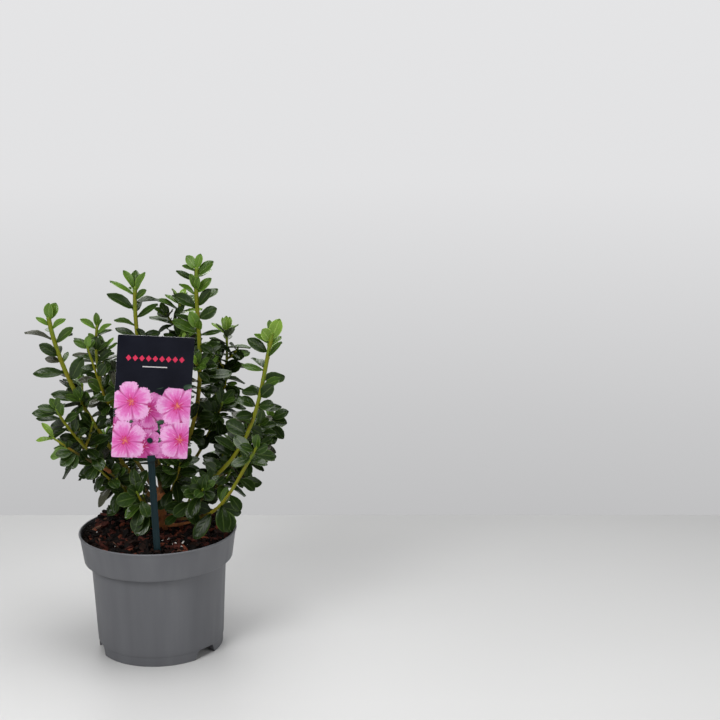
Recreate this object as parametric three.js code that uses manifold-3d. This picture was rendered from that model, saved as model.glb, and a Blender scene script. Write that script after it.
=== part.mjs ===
// Azalea shrub in a round nursery pot: a short woody stem rises from bark mulch and forks low down
// into tapering boughs, and each bough carries one mass of leafy shoots. A plain picture label
// stands on its own stake at the front. Millimetres, +Z up, origin at the centre of the pot's
// underside, front towards -Y.
import * as THREE from "three";
import { mergeVertices } from "three/addons/utils/BufferGeometryUtils.js";
import Module from "manifold-3d";

const wasm = await Module();
wasm.setup();

const CLEARANCE = 0.3; // between neighbouring pieces

// Pot: a 17 cm container, 13 cm tall, with a wide collar and three drainage notches.
const POT = {
  height: 131.2,
  lipRadius: 85,
  collarHeight: 31.6,
  collarTopRadius: 84.2,
  collarLowRadius: 80,
  bodyTopRadius: 72.8,
  bodyLowRadius: 68.2,
  footRadius: 67.5,
  footHeight: 9.5,
  wall: 1.8,
  floor: 2.4,
  footRing: 4,
  recess: 3.6,
  segments: 36,
};
const DRAIN = { radius: 4, ring: 30, count: 4, sides: 8 };
const NOTCH = { width: 29.6, height: 10, reach: 25, firstTurn: 53.3, count: 3 };

// Mulch: flat under the stem, heaped in the middle and lower along the wall.
const SOIL = { edgeBelowLip: 7, heap: 1.6, lump: 1.3, rings: 4, segments: 18, flatRadius: 29 };

// Woody stem, from its flat foot on the mulch to the fork.
const STEM = {
  foot: new THREE.Vector3(5, -8, POT.height + SOIL.heap + CLEARANCE),
  height: 40,
  lean: new THREE.Vector3(1, 3, 0),
  flareRadius: 9.5,
  radius: 5.6,
  forkRadius: 4,
  sides: 10,
};

// Label: a 76 x 126 mm card that hangs by a pin from its stake, which stands just inside the
// front of the pot. The card's own frame has x across, y through to the back and z up the card.
const LABEL = {
  width: 76.4,
  height: 125.8,
  thickness: 0.8,
  corner: 1.5,
  centre: new THREE.Vector3(11.1, -72.8, 293.8),
  lean: 0,
  roll: 5.2,
  yaw: 13.2,
  clear: 2,
};
const STAKE = {
  width: 7,
  depth: 2.6,
  topX: -1.9,
  topZ: -34,
  lowX: 17.3,
  lowZ: -188,
  pinX: -0.6,
  pinZ: -44.4,
  pinRadius: 1.7,
  headRadius: 2.9,
  headDepth: 1,
};

// Leaves are broadest past the middle. `arch` and `cup` are shares of the length, and a leaf opens
// from its twig by `openLow` degrees low down and by `openTip` at the tip, where it is `tipShare`
// as long.
const LEAF = {
  length: 33,
  width: 18,
  thickness: 1.1,
  broadest: 0.56,
  arch: 0.07,
  cup: 0.05,
  openLow: 66,
  openTip: 26,
  tipShare: 0.66,
};
const TWIG = {
  sides: 3,
  leaderSteps: 5,
  steps: 3,
  tipRadius: 1.4,
  sideRoot: 1.7,
  sideTip: 1.1,
  rise: 0.7,
  leaves: 6,
  leafShare: 0.92,
};
const BOUGH = { sides: 5, steps: 5 };
const STEM_SPACE = 2; // between a leaf and the stem
const SIMPLIFY = 0.15; // how far a mass's surface may move when its slivers are taken out
const GOLDEN_TURN = THREE.MathUtils.degToRad(137.5);

// Limbs. Each rises from its parent, heads for its knee and turns up to its tip. `at` is how far
// up the parent it starts, `leafy` how far along itself the leaves begin, and `radius` its
// thickness at the foot. The tip is that of the stem; the topmost leaves reach past it. `sway`
// pulls the low half of a limb to the right and the high half as far to the left.
const LIMBS = [
  { name: "left", parent: "stem", at: 0.55, knee: [-95, 1, 268], tip: [-109, 4, 361],
    leafy: 0.42, radius: 2.6, leaves: 18, twigs: 2, twigLength: 26, seed: 9511 },
  { name: "inner_left", parent: "stem", at: 0.9, knee: [-71, 3, 269], tip: [-59, 6, 352],
    leafy: 0.46, radius: 2.2, leaves: 12, twigs: 2, twigLength: 26, seed: 14023 },
  { name: "inner_low", parent: "inner_left", at: 0.3, knee: [-43, -12, 251], tip: [-64, -20, 334],
    leafy: 0.3, radius: 1.8, leaves: 9, twigs: 1, twigLength: 24, seed: 2029 },
  { name: "upper_left", parent: "stem", at: 0.98, knee: [-23, 9, 351], tip: [-18, 12, 392],
    leafy: 0.5, radius: 2.4, leaves: 14, twigs: 2, twigLength: 30, seed: 10037 },
  { name: "top", parent: "stem", at: 0.95, knee: [72, 3, 321], tip: [49, 0, 414], sway: 22,
    leafy: 0.36, radius: 2.7, leaves: 18, twigs: 2, twigLength: 34, seed: 8541 },
  { name: "right", parent: "stem", at: 0.62, knee: [132, -29, 227], tip: [129, -32, 351],
    sway: 20, leafy: 0.4, radius: 2.7, leaves: 17, twigs: 2, twigLength: 34, seed: 1553 },
  { name: "low_right", parent: "stem", at: 0.34, knee: [84, -67, 150], tip: [116, -84, 245],
    sway: 16, leafy: 0.5, radius: 2.2, leaves: 11, twigs: 2, twigLength: 28, seed: 2061 },
  { name: "low_left", parent: "stem", at: 0.3, knee: [-80, -44, 241], tip: [-89, -62, 278],
    leafy: 0.46, radius: 2.1, leaves: 11, twigs: 2, twigLength: 26, seed: 4571 },
  { name: "spreading_left", parent: "low_left", at: 0.34, knee: [-66, -57, 226],
    tip: [-91, -72, 251],
    leafy: 0.6, radius: 1.6, leaves: 5, twigs: 0, twigLength: 20, seed: 10083 },
  { name: "low_side_left", parent: "stem", at: 0.2, knee: [-31, -27, 178], tip: [-55, -36, 209],
    leafy: 0.36, radius: 1.9, leaves: 13, twigs: 2, twigLength: 26, seed: 14597 },
  { name: "front_left", parent: "stem", at: 0.22, knee: [-8, -34, 162], tip: [-12, -52, 187],
    leafy: 0.3, radius: 1.8, leaves: 12, twigs: 2, twigLength: 22, seed: 9101 },
  { name: "front_right", parent: "stem", at: 0.2, knee: [36, -36, 159], tip: [57, -56, 192],
    leafy: 0.3, radius: 1.9, leaves: 13, twigs: 2, twigLength: 26, seed: 2613 },
  { name: "low_centre", parent: "stem", at: 0.6, knee: [20, -22, 175], tip: [32, -38, 216],
    leafy: 0.3, radius: 1.9, leaves: 11, twigs: 2, twigLength: 26, seed: 11127 },
  { name: "centre", parent: "stem", at: 0.8, knee: [5, -18, 231], tip: [7, -22, 309],
    leafy: 0.34, radius: 2.1, leaves: 11, twigs: 2, twigLength: 28, seed: 4131 },
  { name: "back_top", parent: "stem", at: 0.84, knee: [17, 54, 284], tip: [23, 50, 372],
    leafy: 0.42, radius: 2.3, leaves: 12, twigs: 2, twigLength: 32, seed: 4149 },
  { name: "back_left", parent: "stem", at: 0.7, knee: [-71, 60, 256], tip: [-66, 70, 313],
    leafy: 0.36, radius: 2.2, leaves: 10, twigs: 2, twigLength: 32, seed: 13651 },
  { name: "back_right", parent: "stem", at: 0.68, knee: [79, 52, 236], tip: [72, 62, 337],
    leafy: 0.36, radius: 2.2, leaves: 11, twigs: 2, twigLength: 32, seed: 11663 },
  { name: "back", parent: "stem", at: 0.45, knee: [-2, 88, 191], tip: [-8, 94, 270],
    leafy: 0.34, radius: 2.1, leaves: 11, twigs: 2, twigLength: 32, seed: 2673 },
  { name: "side_right", parent: "right", at: 0.2, knee: [99, 23, 200], tip: [122, 24, 249],
    leafy: 0.3, radius: 1.8, leaves: 10, twigs: 2, twigLength: 28, seed: 6181 },
  { name: "side_left", parent: "left", at: 0.16, knee: [-71, 23, 194], tip: [-99, 30, 213],
    leafy: 0.34, radius: 1.8, leaves: 9, twigs: 2, twigLength: 28, seed: 7191 },
  { name: "low_back_left", parent: "stem", at: 0.25, knee: [-58, 58, 143], tip: [-70, 84, 207],
    leafy: 0.34, radius: 2.0, leaves: 11, twigs: 2, twigLength: 30, seed: 7697 },
  { name: "low_back_right", parent: "stem", at: 0.28, knee: [67, 58, 144], tip: [76, 84, 205],
    leafy: 0.34, radius: 2.0, leaves: 11, twigs: 2, twigLength: 30, seed: 4211 },
];

// A small seeded generator, so that the plant grows the same way each time.
function seeded(seed) {
  let state = seed * 7919 + 104729;
  return () => {
    state = (state * 48271) % 2147483647;
    return state / 2147483647;
  };
}

const between = (low, high, share) => low + (high - low) * share;

// A closed geometry as a solid: only the shared corners are kept.
function solidOf(geometry) {
  geometry.deleteAttribute("normal");
  geometry.deleteAttribute("uv");
  const merged = mergeVertices(geometry);
  return new wasm.Manifold(new wasm.Mesh({
    numProp: 3,
    vertProperties: merged.attributes.position.array,
    triVerts: new Uint32Array(merged.index.array),
  }));
}

function geometryOf(solid) {
  const mesh = solid.getMesh();
  const geometry = new THREE.BufferGeometry();
  geometry.setAttribute("position", new THREE.BufferAttribute(mesh.vertProperties, 3));
  geometry.setIndex(new THREE.BufferAttribute(mesh.triVerts, 1));
  geometry.computeVertexNormals();
  return geometry;
}

// The largest body of a solid, without the scraps that a cut leaves.
function largestBody(solid) {
  return solid.decompose().reduce((a, b) => (a.volume() > b.volume() ? a : b));
}

function plainMaterial(color, roughness) {
  return new THREE.MeshStandardMaterial({ color, roughness, metalness: 0 });
}

const MATERIALS = {
  pot: plainMaterial(0x55585c, 0.55),
  mulch: plainMaterial(0x3a1d12, 0.95),
  bark: plainMaterial(0x7a4a2c, 0.85),
  leaf: plainMaterial(0x3c5f2a, 0.5),
  card: plainMaterial(0x1c1b26, 0.4),
  stake: plainMaterial(0x12343a, 0.5),
};

const shrub = new THREE.Group();
function addPiece(name, solid, material) {
  const mesh = new THREE.Mesh(geometryOf(solid), material);
  mesh.name = name;
  shrub.add(mesh);
}

// Two directions square to `along`, worked out the same way everywhere on the plant.
function squareTo(along) {
  const helper = Math.abs(along.y) < 0.8 ? new THREE.Vector3(0, 1, 0) : new THREE.Vector3(1, 0, 0);
  const side = new THREE.Vector3().crossVectors(helper, along).normalize();
  const other = new THREE.Vector3().crossVectors(along, side);
  return { side, other };
}

// A closed tapering tube along part of a curve; `radiusAt` gives its radius for each share.
function taperedTube(curve, from, to, radiusAt, sides, steps) {
  const geometry = new THREE.CylinderGeometry(1, 1, 1, sides, steps);
  const corners = geometry.attributes.position;
  for (let i = 0; i < corners.count; i += 1) {
    const share = corners.getY(i) + 0.5;
    const t = between(from, to, share);
    const { side, other } = squareTo(curve.getTangent(t));
    const radius = radiusAt(share);
    const place = curve.getPoint(t)
      .addScaledVector(side, corners.getX(i) * radius)
      .addScaledVector(other, -corners.getZ(i) * radius);
    corners.setXYZ(i, place.x, place.y, place.z);
  }
  return solidOf(geometry);
}

// A turned solid from a closed profile of [radius, height] pairs.
function turned(profile, segments) {
  const points = profile.map(([radius, height]) => new THREE.Vector2(radius, height));
  return solidOf(new THREE.LatheGeometry(points, segments).rotateX(Math.PI / 2));
}

// Pot

// Radius of the pot's outer wall at a height on the body.
function bodyRadius(height) {
  const rise = (height - POT.footHeight) / (POT.height - POT.collarHeight - POT.footHeight);
  return between(POT.bodyLowRadius, POT.bodyTopRadius, rise);
}

const COLLAR_FOOT = POT.height - POT.collarHeight;
const LIP_ROUND = 0.8;

// The inside of the pot, drawn in by `gap` and filled up to `top`.
function cavityProfile(gap, top) {
  const inset = POT.wall + gap;
  const floor = POT.recess + POT.floor + gap;
  const step = COLLAR_FOOT + POT.wall + gap;
  const topRadius = between(
    POT.collarLowRadius, POT.collarTopRadius, (top - COLLAR_FOOT) / POT.collarHeight);
  return [
    [0, floor],
    [POT.footRadius - inset, floor],
    [POT.footRadius - inset, POT.footHeight],
    [bodyRadius(COLLAR_FOOT) - inset, step],
    [POT.collarLowRadius - inset, step + POT.wall],
    [topRadius - inset, top],
    [0, top],
  ];
}

// One drainage notch: an arch with leaning sides through the foot that runs in under the floor.
function notch(grow, turn) {
  const half = NOTCH.width / 2 + grow;
  const top = NOTCH.height + grow;
  const shoulder = half * 0.72;
  const below = half + ((half - shoulder) * 5) / top;
  const arch = new THREE.Shape();
  arch.moveTo(-below, -5);
  arch.lineTo(below, -5);
  arch.lineTo(shoulder, top);
  arch.lineTo(-shoulder, top);
  arch.closePath();
  const depth = NOTCH.reach + grow + 10;
  const geometry = new THREE.ExtrudeGeometry(arch, { depth, bevelEnabled: false });
  geometry.rotateX(Math.PI / 2);
  geometry.translate(0, -(POT.footRadius - NOTCH.reach - grow), 0);
  geometry.rotateZ(THREE.MathUtils.degToRad(turn));
  return solidOf(geometry);
}

function notches(grow) {
  const cuts = [];
  for (let i = 0; i < NOTCH.count; i += 1) {
    cuts.push(notch(grow, NOTCH.firstTurn + (i * 360) / NOTCH.count));
  }
  return wasm.Manifold.union(cuts);
}

// Round drain holes through the floor.
function drains() {
  const holes = [];
  for (let i = 0; i < DRAIN.count; i += 1) {
    holes.push(solidOf(new THREE.CylinderGeometry(DRAIN.radius, DRAIN.radius, 20, DRAIN.sides)
      .rotateX(Math.PI / 2)
      .translate(DRAIN.ring, 0, 0)
      .rotateZ((i * 2 * Math.PI) / DRAIN.count)));
  }
  return wasm.Manifold.union(holes);
}

function makePot() {
  const outside = turned([
    [0, POT.recess],
    [POT.footRadius - POT.footRing - POT.recess, POT.recess],
    [POT.footRadius - POT.footRing, 0],
    [POT.footRadius, 0],
    [POT.footRadius, POT.footHeight - 1],
    [POT.bodyLowRadius, POT.footHeight + 1],
    [POT.bodyTopRadius, COLLAR_FOOT],
    [POT.collarLowRadius - LIP_ROUND, COLLAR_FOOT],
    [POT.collarLowRadius, COLLAR_FOOT + LIP_ROUND],
    [POT.collarTopRadius, POT.height - 3],
    [POT.lipRadius, POT.height - 2],
    [POT.lipRadius, POT.height - LIP_ROUND],
    [POT.lipRadius - LIP_ROUND, POT.height],
    [0, POT.height],
  ], POT.segments);
  const hollow = turned(cavityProfile(0, POT.height + 1), POT.segments)
    .subtract(notches(POT.wall));
  return outside.subtract(hollow).subtract(notches(0)).subtract(drains());
}

// Mulch

// Height of the mulch at a place: flat round the stem, heaped inside and low along the wall.
function mulchTop(x, y) {
  const fromStem = Math.hypot(x - STEM.foot.x, y - STEM.foot.y);
  const fromAxis = Math.hypot(x, y) / POT.collarTopRadius;
  const edge = THREE.MathUtils.smoothstep(fromAxis, 0.68, 0.98);
  const rough = THREE.MathUtils.smoothstep(fromStem, SOIL.flatRadius, SOIL.flatRadius * 1.6);
  const lumps = Math.sin(x * 0.31 + 1.1) * Math.cos(y * 0.27 - 0.4) + 0.6 * Math.sin(x * 0.11 - y * 0.17);
  return POT.height + SOIL.heap - edge * (SOIL.edgeBelowLip + SOIL.heap) + rough * SOIL.lump * lumps;
}

function makeMulch() {
  const shoulder = POT.height - SOIL.edgeBelowLip;
  const profile = cavityProfile(CLEARANCE, shoulder);
  profile.pop();
  const wallRadius = profile[profile.length - 1][0];
  for (let ring = SOIL.rings - 1; ring >= 0; ring -= 1) {
    profile.push([(wallRadius * ring) / SOIL.rings, shoulder + 1]);
  }
  const points = profile.map(([radius, height]) => new THREE.Vector2(radius, height));
  const geometry = new THREE.LatheGeometry(points, SOIL.segments).rotateX(Math.PI / 2);
  const corners = geometry.attributes.position;
  for (let i = 0; i < corners.count; i += 1) {
    if (corners.getZ(i) > shoulder + 0.5) {
      corners.setZ(i, mulchTop(corners.getX(i), corners.getY(i)));
    }
  }
  return solidOf(geometry).subtract(notches(POT.wall + CLEARANCE));
}

// Label and stake

const labelFrame = new THREE.Matrix4().makeRotationFromEuler(new THREE.Euler(
  THREE.MathUtils.degToRad(LABEL.lean), THREE.MathUtils.degToRad(LABEL.roll),
  THREE.MathUtils.degToRad(LABEL.yaw), "ZYX")).setPosition(LABEL.centre);
const toLabel = labelFrame.clone().invert();
const FRONT_FACE = -LABEL.thickness / 2;
const STAKE_FACE = LABEL.thickness / 2 + CLEARANCE;

// A round peg along the card's y axis at the pin's place.
function peg(radius, from, to) {
  return new THREE.CylinderGeometry(radius, radius, to - from, 16)
    .translate(STAKE.pinX, (from + to) / 2, STAKE.pinZ);
}

function makeLabel() {
  const halfWidth = LABEL.width / 2;
  const halfHeight = LABEL.height / 2;
  const card = new THREE.Shape();
  card.moveTo(-halfWidth + LABEL.corner, -halfHeight);
  card.lineTo(halfWidth - LABEL.corner, -halfHeight);
  card.lineTo(halfWidth, -halfHeight + LABEL.corner);
  card.lineTo(halfWidth, halfHeight - LABEL.corner);
  card.lineTo(halfWidth - LABEL.corner, halfHeight);
  card.lineTo(-halfWidth + LABEL.corner, halfHeight);
  card.lineTo(-halfWidth, halfHeight - LABEL.corner);
  card.lineTo(-halfWidth, -halfHeight + LABEL.corner);
  card.closePath();
  const sheet = new THREE.ExtrudeGeometry(card, { depth: LABEL.thickness, bevelEnabled: false })
    .translate(0, 0, -LABEL.thickness / 2)
    .rotateX(Math.PI / 2);
  const hole = peg(STAKE.pinRadius + CLEARANCE, -5, 5);
  return solidOf(sheet.applyMatrix4(labelFrame))
    .subtract(solidOf(hole.applyMatrix4(labelFrame)));
}

// The stake's blade behind the card, or with `grow` the slot that it has pushed into the mulch.
function makeBlade(grow) {
  const top = new THREE.Vector3(STAKE.topX, 0, STAKE.topZ);
  const low = new THREE.Vector3(STAKE.lowX, 0, STAKE.lowZ);
  const along = new THREE.Vector3().subVectors(top, low);
  const blade = new THREE.BoxGeometry(
    STAKE.width + 2 * grow, STAKE.depth + 2 * grow, along.length() + 2 * grow)
    .rotateY(Math.atan2(along.x, along.z))
    .translate((top.x + low.x) / 2, STAKE_FACE + STAKE.depth / 2, (top.z + low.z) / 2);
  return solidOf(blade.applyMatrix4(labelFrame));
}

// Blade, pin through the card and the round head that holds the card in front.
function makeStake() {
  const headBack = FRONT_FACE - CLEARANCE;
  const pin = peg(STAKE.pinRadius, headBack - 0.5, STAKE_FACE + 0.5);
  const head = peg(STAKE.headRadius, headBack - STAKE.headDepth, headBack);
  return makeBlade(0).add(solidOf(pin.applyMatrix4(labelFrame)))
    .add(solidOf(head.applyMatrix4(labelFrame)));
}

// Whether a place touches the label or hangs in front of it.
function hidesLabel(place) {
  const { x, y, z } = place.clone().applyMatrix4(toLabel);
  if (y > STAKE_FACE + STAKE.depth + LABEL.clear) return false;
  const low = -LABEL.height / 2 - LABEL.clear;
  if (z > low) {
    return Math.abs(x) < LABEL.width / 2 + LABEL.clear && z < LABEL.height / 2 + LABEL.clear;
  }
  const share = (z - STAKE.topZ) / (STAKE.lowZ - STAKE.topZ);
  return Math.abs(x - between(STAKE.topX, STAKE.lowX, share)) < STAKE.width / 2 + LABEL.clear;
}

// Limbs

const stemTop = STEM.foot.clone().add(STEM.lean).add(new THREE.Vector3(0, 0, STEM.height));
const stemCurve = new THREE.LineCurve3(STEM.foot, stemTop);

// The stem's radius: a root flare at the mulch, then a slow taper to the fork.
function stemRadius(share, grow = 0) {
  const flare = (STEM.flareRadius - STEM.radius) * Math.exp(-share * 9);
  return between(STEM.radius, STEM.forkRadius, share) + flare + grow;
}

// The stem is cut level where it stands on the mulch.
function makeStem(grow) {
  const tube = taperedTube(stemCurve, -0.15, 1 + grow / STEM.height,
    (share) => stemRadius(Math.max(0, share * 1.15 - 0.15), grow), STEM.sides, 7);
  return tube.trimByPlane([0, 0, 1], STEM.foot.z);
}

const MARKS = 24; // places along each limb from which distances are taken

// A limb's radius at a share of its whole length.
function limbRadius(limb, t) {
  return between(limb.radius, TWIG.tipRadius, Math.min(1, t * 1.02));
}

const limbs = new Map();
for (const limb of LIMBS) {
  const parentCurve = limb.parent === "stem" ? stemCurve : limbs.get(limb.parent).curve;
  const foot = parentCurve.getPoint(limb.at);
  const knee = new THREE.Vector3(...limb.knee);
  const tip = new THREE.Vector3(...limb.tip);
  const swing = new THREE.Vector3(limb.sway ?? 0, 0, 0);
  const curve = new THREE.CubicBezierCurve3(
    foot,
    foot.clone().lerp(knee, 2 / 3).add(swing),
    tip.clone().lerp(knee, 2 / 3).sub(swing),
    tip,
  );
  limbs.set(limb.name, { ...limb, curve, marks: curve.getPoints(MARKS) });
}

function boughTube(limb, grow) {
  return taperedTube(limb.curve, 0, limb.leafy + (grow ? 0.02 : 0),
    (share) => limbRadius(limb, share * limb.leafy) + grow, BOUGH.sides, BOUGH.steps);
}

// Foliage

const probe = new THREE.Line3();
const nearest = new THREE.Vector3();
function distanceToMarks(place, marks) {
  let least = Infinity;
  for (let i = 1; i < marks.length; i += 1) {
    probe.set(marks[i - 1], marks[i]);
    least = Math.min(least, probe.closestPointToPoint(place, true, nearest).distanceTo(place));
  }
  return least;
}

const OWN_SPACE = 1.2; // how much nearer to its own leafy stem than to any other a leaf stays
const BARE_SPACE = 0.9; // between a leaf and the bare wood of any limb
const CROWN = { left: -137, right: 138.5, depth: 105, top: 428, floor: POT.height + 4 };
for (const limb of limbs.values()) {
  const cut = Math.round(limb.leafy * MARKS);
  limb.bare = limb.marks.slice(0, cut + 1);
  limb.green = limb.marks.slice(cut);
}

// Whether a place is in the limb's own space and clear of wood, mulch, pot and label.
function isFree(place, limb) {
  if (place.z < CROWN.floor || place.z > CROWN.top || Math.abs(place.y) > CROWN.depth) return false;
  if (place.x < CROWN.left || place.x > CROWN.right || hidesLabel(place)) return false;
  if (distanceToMarks(place, [STEM.foot, stemTop]) < STEM.radius + STEM_SPACE) return false;
  const own = distanceToMarks(place, limb.green);
  for (const other of limbs.values()) {
    if (distanceToMarks(place, other.bare) < other.radius + BARE_SPACE) return false;
    if (other !== limb && distanceToMarks(place, other.green) < own + OWN_SPACE) return false;
  }
  return true;
}

// A side twig: it leaves its limb at an angle and bends up.
function sideTwig(limb, share, turn, length) {
  const t = between(limb.leafy, 1, share);
  const root = limb.curve.getPoint(t);
  const along = limb.curve.getTangent(t);
  const { side, other } = squareTo(along);
  const out = side.multiplyScalar(Math.cos(turn)).addScaledVector(other, Math.sin(turn));
  if (out.z < 0) out.multiplyScalar(-1);
  const first = along.clone().multiplyScalar(0.55).add(out).normalize();
  const knee = root.clone().addScaledVector(first, length * 0.5);
  const second = first.clone().add(new THREE.Vector3(0, 0, TWIG.rise)).normalize();
  const tip = knee.clone().addScaledVector(second, length * 0.5);
  return new THREE.QuadraticBezierCurve3(root, knee, tip);
}

// The five outer corners of a leaf and the root sunk in its twig.
function leafCorners(root, along, up, length) {
  const across = new THREE.Vector3().crossVectors(along, up).normalize();
  const face = new THREE.Vector3().crossVectors(across, along).normalize();
  const width = length * (LEAF.width / LEAF.length);
  const at = (x, y, z) => root.clone().addScaledVector(across, x)
    .addScaledVector(along, y).addScaledVector(face, z);
  const arch = length * LEAF.arch;
  const cup = length * LEAF.cup;
  return {
    left: at(-width / 2, length * LEAF.broadest, arch + cup),
    right: at(width / 2, length * LEAF.broadest, arch + cup),
    root: at(0, 0, 0),
    tip: at(0, length, -arch),
    top: at(0, length * 0.5, arch + LEAF.thickness / 2),
    under: at(0, length * 0.4, arch - LEAF.thickness / 2),
  };
}

// A leaf of eight faces: an octahedron whose corners are moved to the leaf's.
function leafSolid(corners) {
  const geometry = new THREE.OctahedronGeometry(1);
  const places = geometry.attributes.position;
  for (let i = 0; i < places.count; i += 1) {
    const [x, y, z] = [places.getX(i), places.getY(i), places.getZ(i)];
    let corner = z > 0.5 ? corners.top : corners.under;
    if (Math.abs(x) > 0.5) corner = x > 0 ? corners.right : corners.left;
    if (Math.abs(y) > 0.5) corner = y > 0 ? corners.tip : corners.root;
    places.setXYZ(i, corner.x, corner.y, corner.z);
  }
  return solidOf(geometry);
}

// The leaf that leaves a twig at `t`, turned `turn` round it and opened by `open`.
function leafAt(twig, t, turn, open, length) {
  const along = twig.curve.getTangent(t);
  const { side, other } = squareTo(along);
  const out = side.multiplyScalar(Math.cos(turn)).addScaledVector(other, Math.sin(turn));
  const heading = along.clone().multiplyScalar(Math.cos(open)).addScaledVector(out, Math.sin(open));
  const up = along.clone().add(new THREE.Vector3(0, 0, 0.35)).normalize();
  const root = twig.curve.getPoint(t).addScaledVector(heading, -0.4 * twig.radiusAt(t));
  return leafCorners(root, heading, up, length);
}

// Leaves along a twig by the golden turn: spreading low down, closer and steeper at the tip.
// One that has no room is turned on and made shorter, a few times over, before it is left out.
function addLeaves(leaves, twigs, limb, twig, first, count, size, rand) {
  const phase = rand() * Math.PI * 2;
  for (let i = 0; i < count; i += 1) {
    const order = i / (count - 1);
    const t = between(first, 0.995, 1 - (1 - order) ** 1.35);
    const turn = phase + GOLDEN_TURN * i + (rand() - 0.5) * 0.5;
    const opening = between(LEAF.openLow, LEAF.openTip, order ** 1.6) + (rand() - 0.5) * 16;
    const open = THREE.MathUtils.degToRad(opening);
    const length = size * between(1, LEAF.tipShare, order ** 3) * between(0.86, 1.14, rand());
    for (let attempt = 0; attempt < 6; attempt += 1) {
      const corners = leafAt(twig, t, turn + attempt * 0.8, open, length * (1 - attempt * 0.07));
      if (leafIsFree(corners, limb, twigs, leaves)) {
        leaves.push(corners);
        break;
      }
    }
  }
}

// Whether the stretch from one place to another passes through a leaf.
const ray = new THREE.Ray();
function passesThrough(from, to, leaf) {
  const { left, right, root, tip } = leaf;
  ray.origin.copy(from);
  ray.direction.subVectors(to, from).normalize();
  const hit = ray.intersectTriangle(root, left, tip, false, nearest)
    || ray.intersectTriangle(root, tip, right, false, nearest);
  return hit !== null && hit.distanceTo(from) < from.distanceTo(to);
}

// Whether two leaves cross, apart from where both leave their twig.
function leavesCross(one, two) {
  const edgesOf = ({ left, right, root, tip }) => {
    const neck = root.clone().lerp(tip, 0.1);
    return [[neck, left], [left, tip], [tip, right], [right, neck], [neck, tip], [left, right]];
  };
  return edgesOf(one).some(([from, to]) => passesThrough(from, to, two))
    || edgesOf(two).some(([from, to]) => passesThrough(from, to, one));
}

// Places along a leaf's edges and fold, from its neck to its tip.
function placesOn({ left, right, root, tip, top }) {
  const places = [left, right, tip, top];
  for (const corner of [left, right]) {
    for (const share of [0.35, 0.7]) {
      places.push(root.clone().lerp(corner, share), corner.clone().lerp(tip, share));
    }
  }
  places.push(root.clone().lerp(top, 0.5), top.clone().lerp(tip, 0.5));
  return places;
}

function leafIsFree(corners, limb, twigs, leaves) {
  if (!placesOn(corners).every((place) => isFree(place, limb))) return false;
  if (leaves.some((leaf) => leavesCross(leaf, corners))) return false;
  const blade = { ...corners, root: corners.root.clone().lerp(corners.tip, 0.12) };
  const crosses = (marks) => marks.some((mark, i) => (
    i > 0 && passesThrough(marks[i - 1], mark, blade)));
  return !twigs.some((twig) => crosses(twig.marks))
    && ![...limbs.values()].some((other) => crosses(other.bare));
}

// One mass: the limb's own leafy stem, its side twigs and their leaves, joined into one body.
function makeFoliage(limb) {
  const rand = seeded(limb.seed);
  const start = limb.leafy + CLEARANCE / limb.curve.getLength();
  const leader = {
    curve: limb.curve,
    radiusAt: (t) => between(limbRadius(limb, start), TWIG.tipRadius, (t - start) / (1 - start)),
  };
  let mass = taperedTube(limb.curve, start, 1,
    (share) => leader.radiusAt(between(start, 1, share)), TWIG.sides, TWIG.leaderSteps);
  const twigs = [{ ...leader, marks: limb.marks }];
  for (let i = 0; i < limb.twigs; i += 1) {
    const share = between(0.06, 0.68, (i + 0.5) / limb.twigs) + (rand() - 0.5) * 0.08;
    const turn = GOLDEN_TURN * i + rand() * 0.6 + limb.seed;
    const length = limb.twigLength * between(0.8, 1.15, rand());
    const curve = sideTwig(limb, share, turn, length);
    const marks = curve.getPoints(5);
    if (!marks.slice(1).every((place) => isFree(place, limb))) continue;
    const radiusAt = (t) => between(TWIG.sideRoot, TWIG.sideTip, t);
    mass = mass.add(taperedTube(curve, 0, 1, radiusAt, TWIG.sides, TWIG.steps));
    twigs.push({ curve, radiusAt, marks });
  }
  const leaves = [];
  addLeaves(leaves, twigs, limb, twigs[0], start + 0.06, limb.leaves, LEAF.length, rand);
  for (const twig of twigs.slice(1)) {
    addLeaves(leaves, twigs, limb, twig, 0.3, TWIG.leaves, LEAF.length * TWIG.leafShare, rand);
  }
  for (const corners of leaves) mass = mass.add(leafSolid(corners));
  return largestBody(mass.simplify(SIMPLIFY));
}

addPiece("pot", makePot(), MATERIALS.pot);
addPiece("mulch", makeMulch().subtract(makeBlade(CLEARANCE)), MATERIALS.mulch);
addPiece("label_card", makeLabel(), MATERIALS.card);
addPiece("label_stake", makeStake(), MATERIALS.stake);

addPiece("stem", makeStem(0), MATERIALS.bark);

let built = makeStem(CLEARANCE);
for (const limb of limbs.values()) {
  const bough = largestBody(boughTube(limb, 0).subtract(built));
  addPiece("bough_" + limb.name, bough, MATERIALS.bark);
  built = built.add(boughTube(limb, CLEARANCE));
}
for (const limb of limbs.values()) {
  addPiece("foliage_" + limb.name, makeFoliage(limb), MATERIALS.leaf);
}

export default shrub;
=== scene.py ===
# %% [markdown]
# # A young azalea in its nursery pot
# This lesson dresses a measured model of a potted shrub. The model gives the size and place of
# every piece, so it is loaded first and never changed. Each piece that shows is then modelled
# again at the same place with the detail that the real one has: a moulded plastic pot, bark
# mulch, a printed card on its stake, woody boughs and over a thousand leaves.

# %% Load the measured model
import math

import bmesh
import bpy
import numpy as np
from mathutils import Euler, Matrix, Vector, noise


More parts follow.
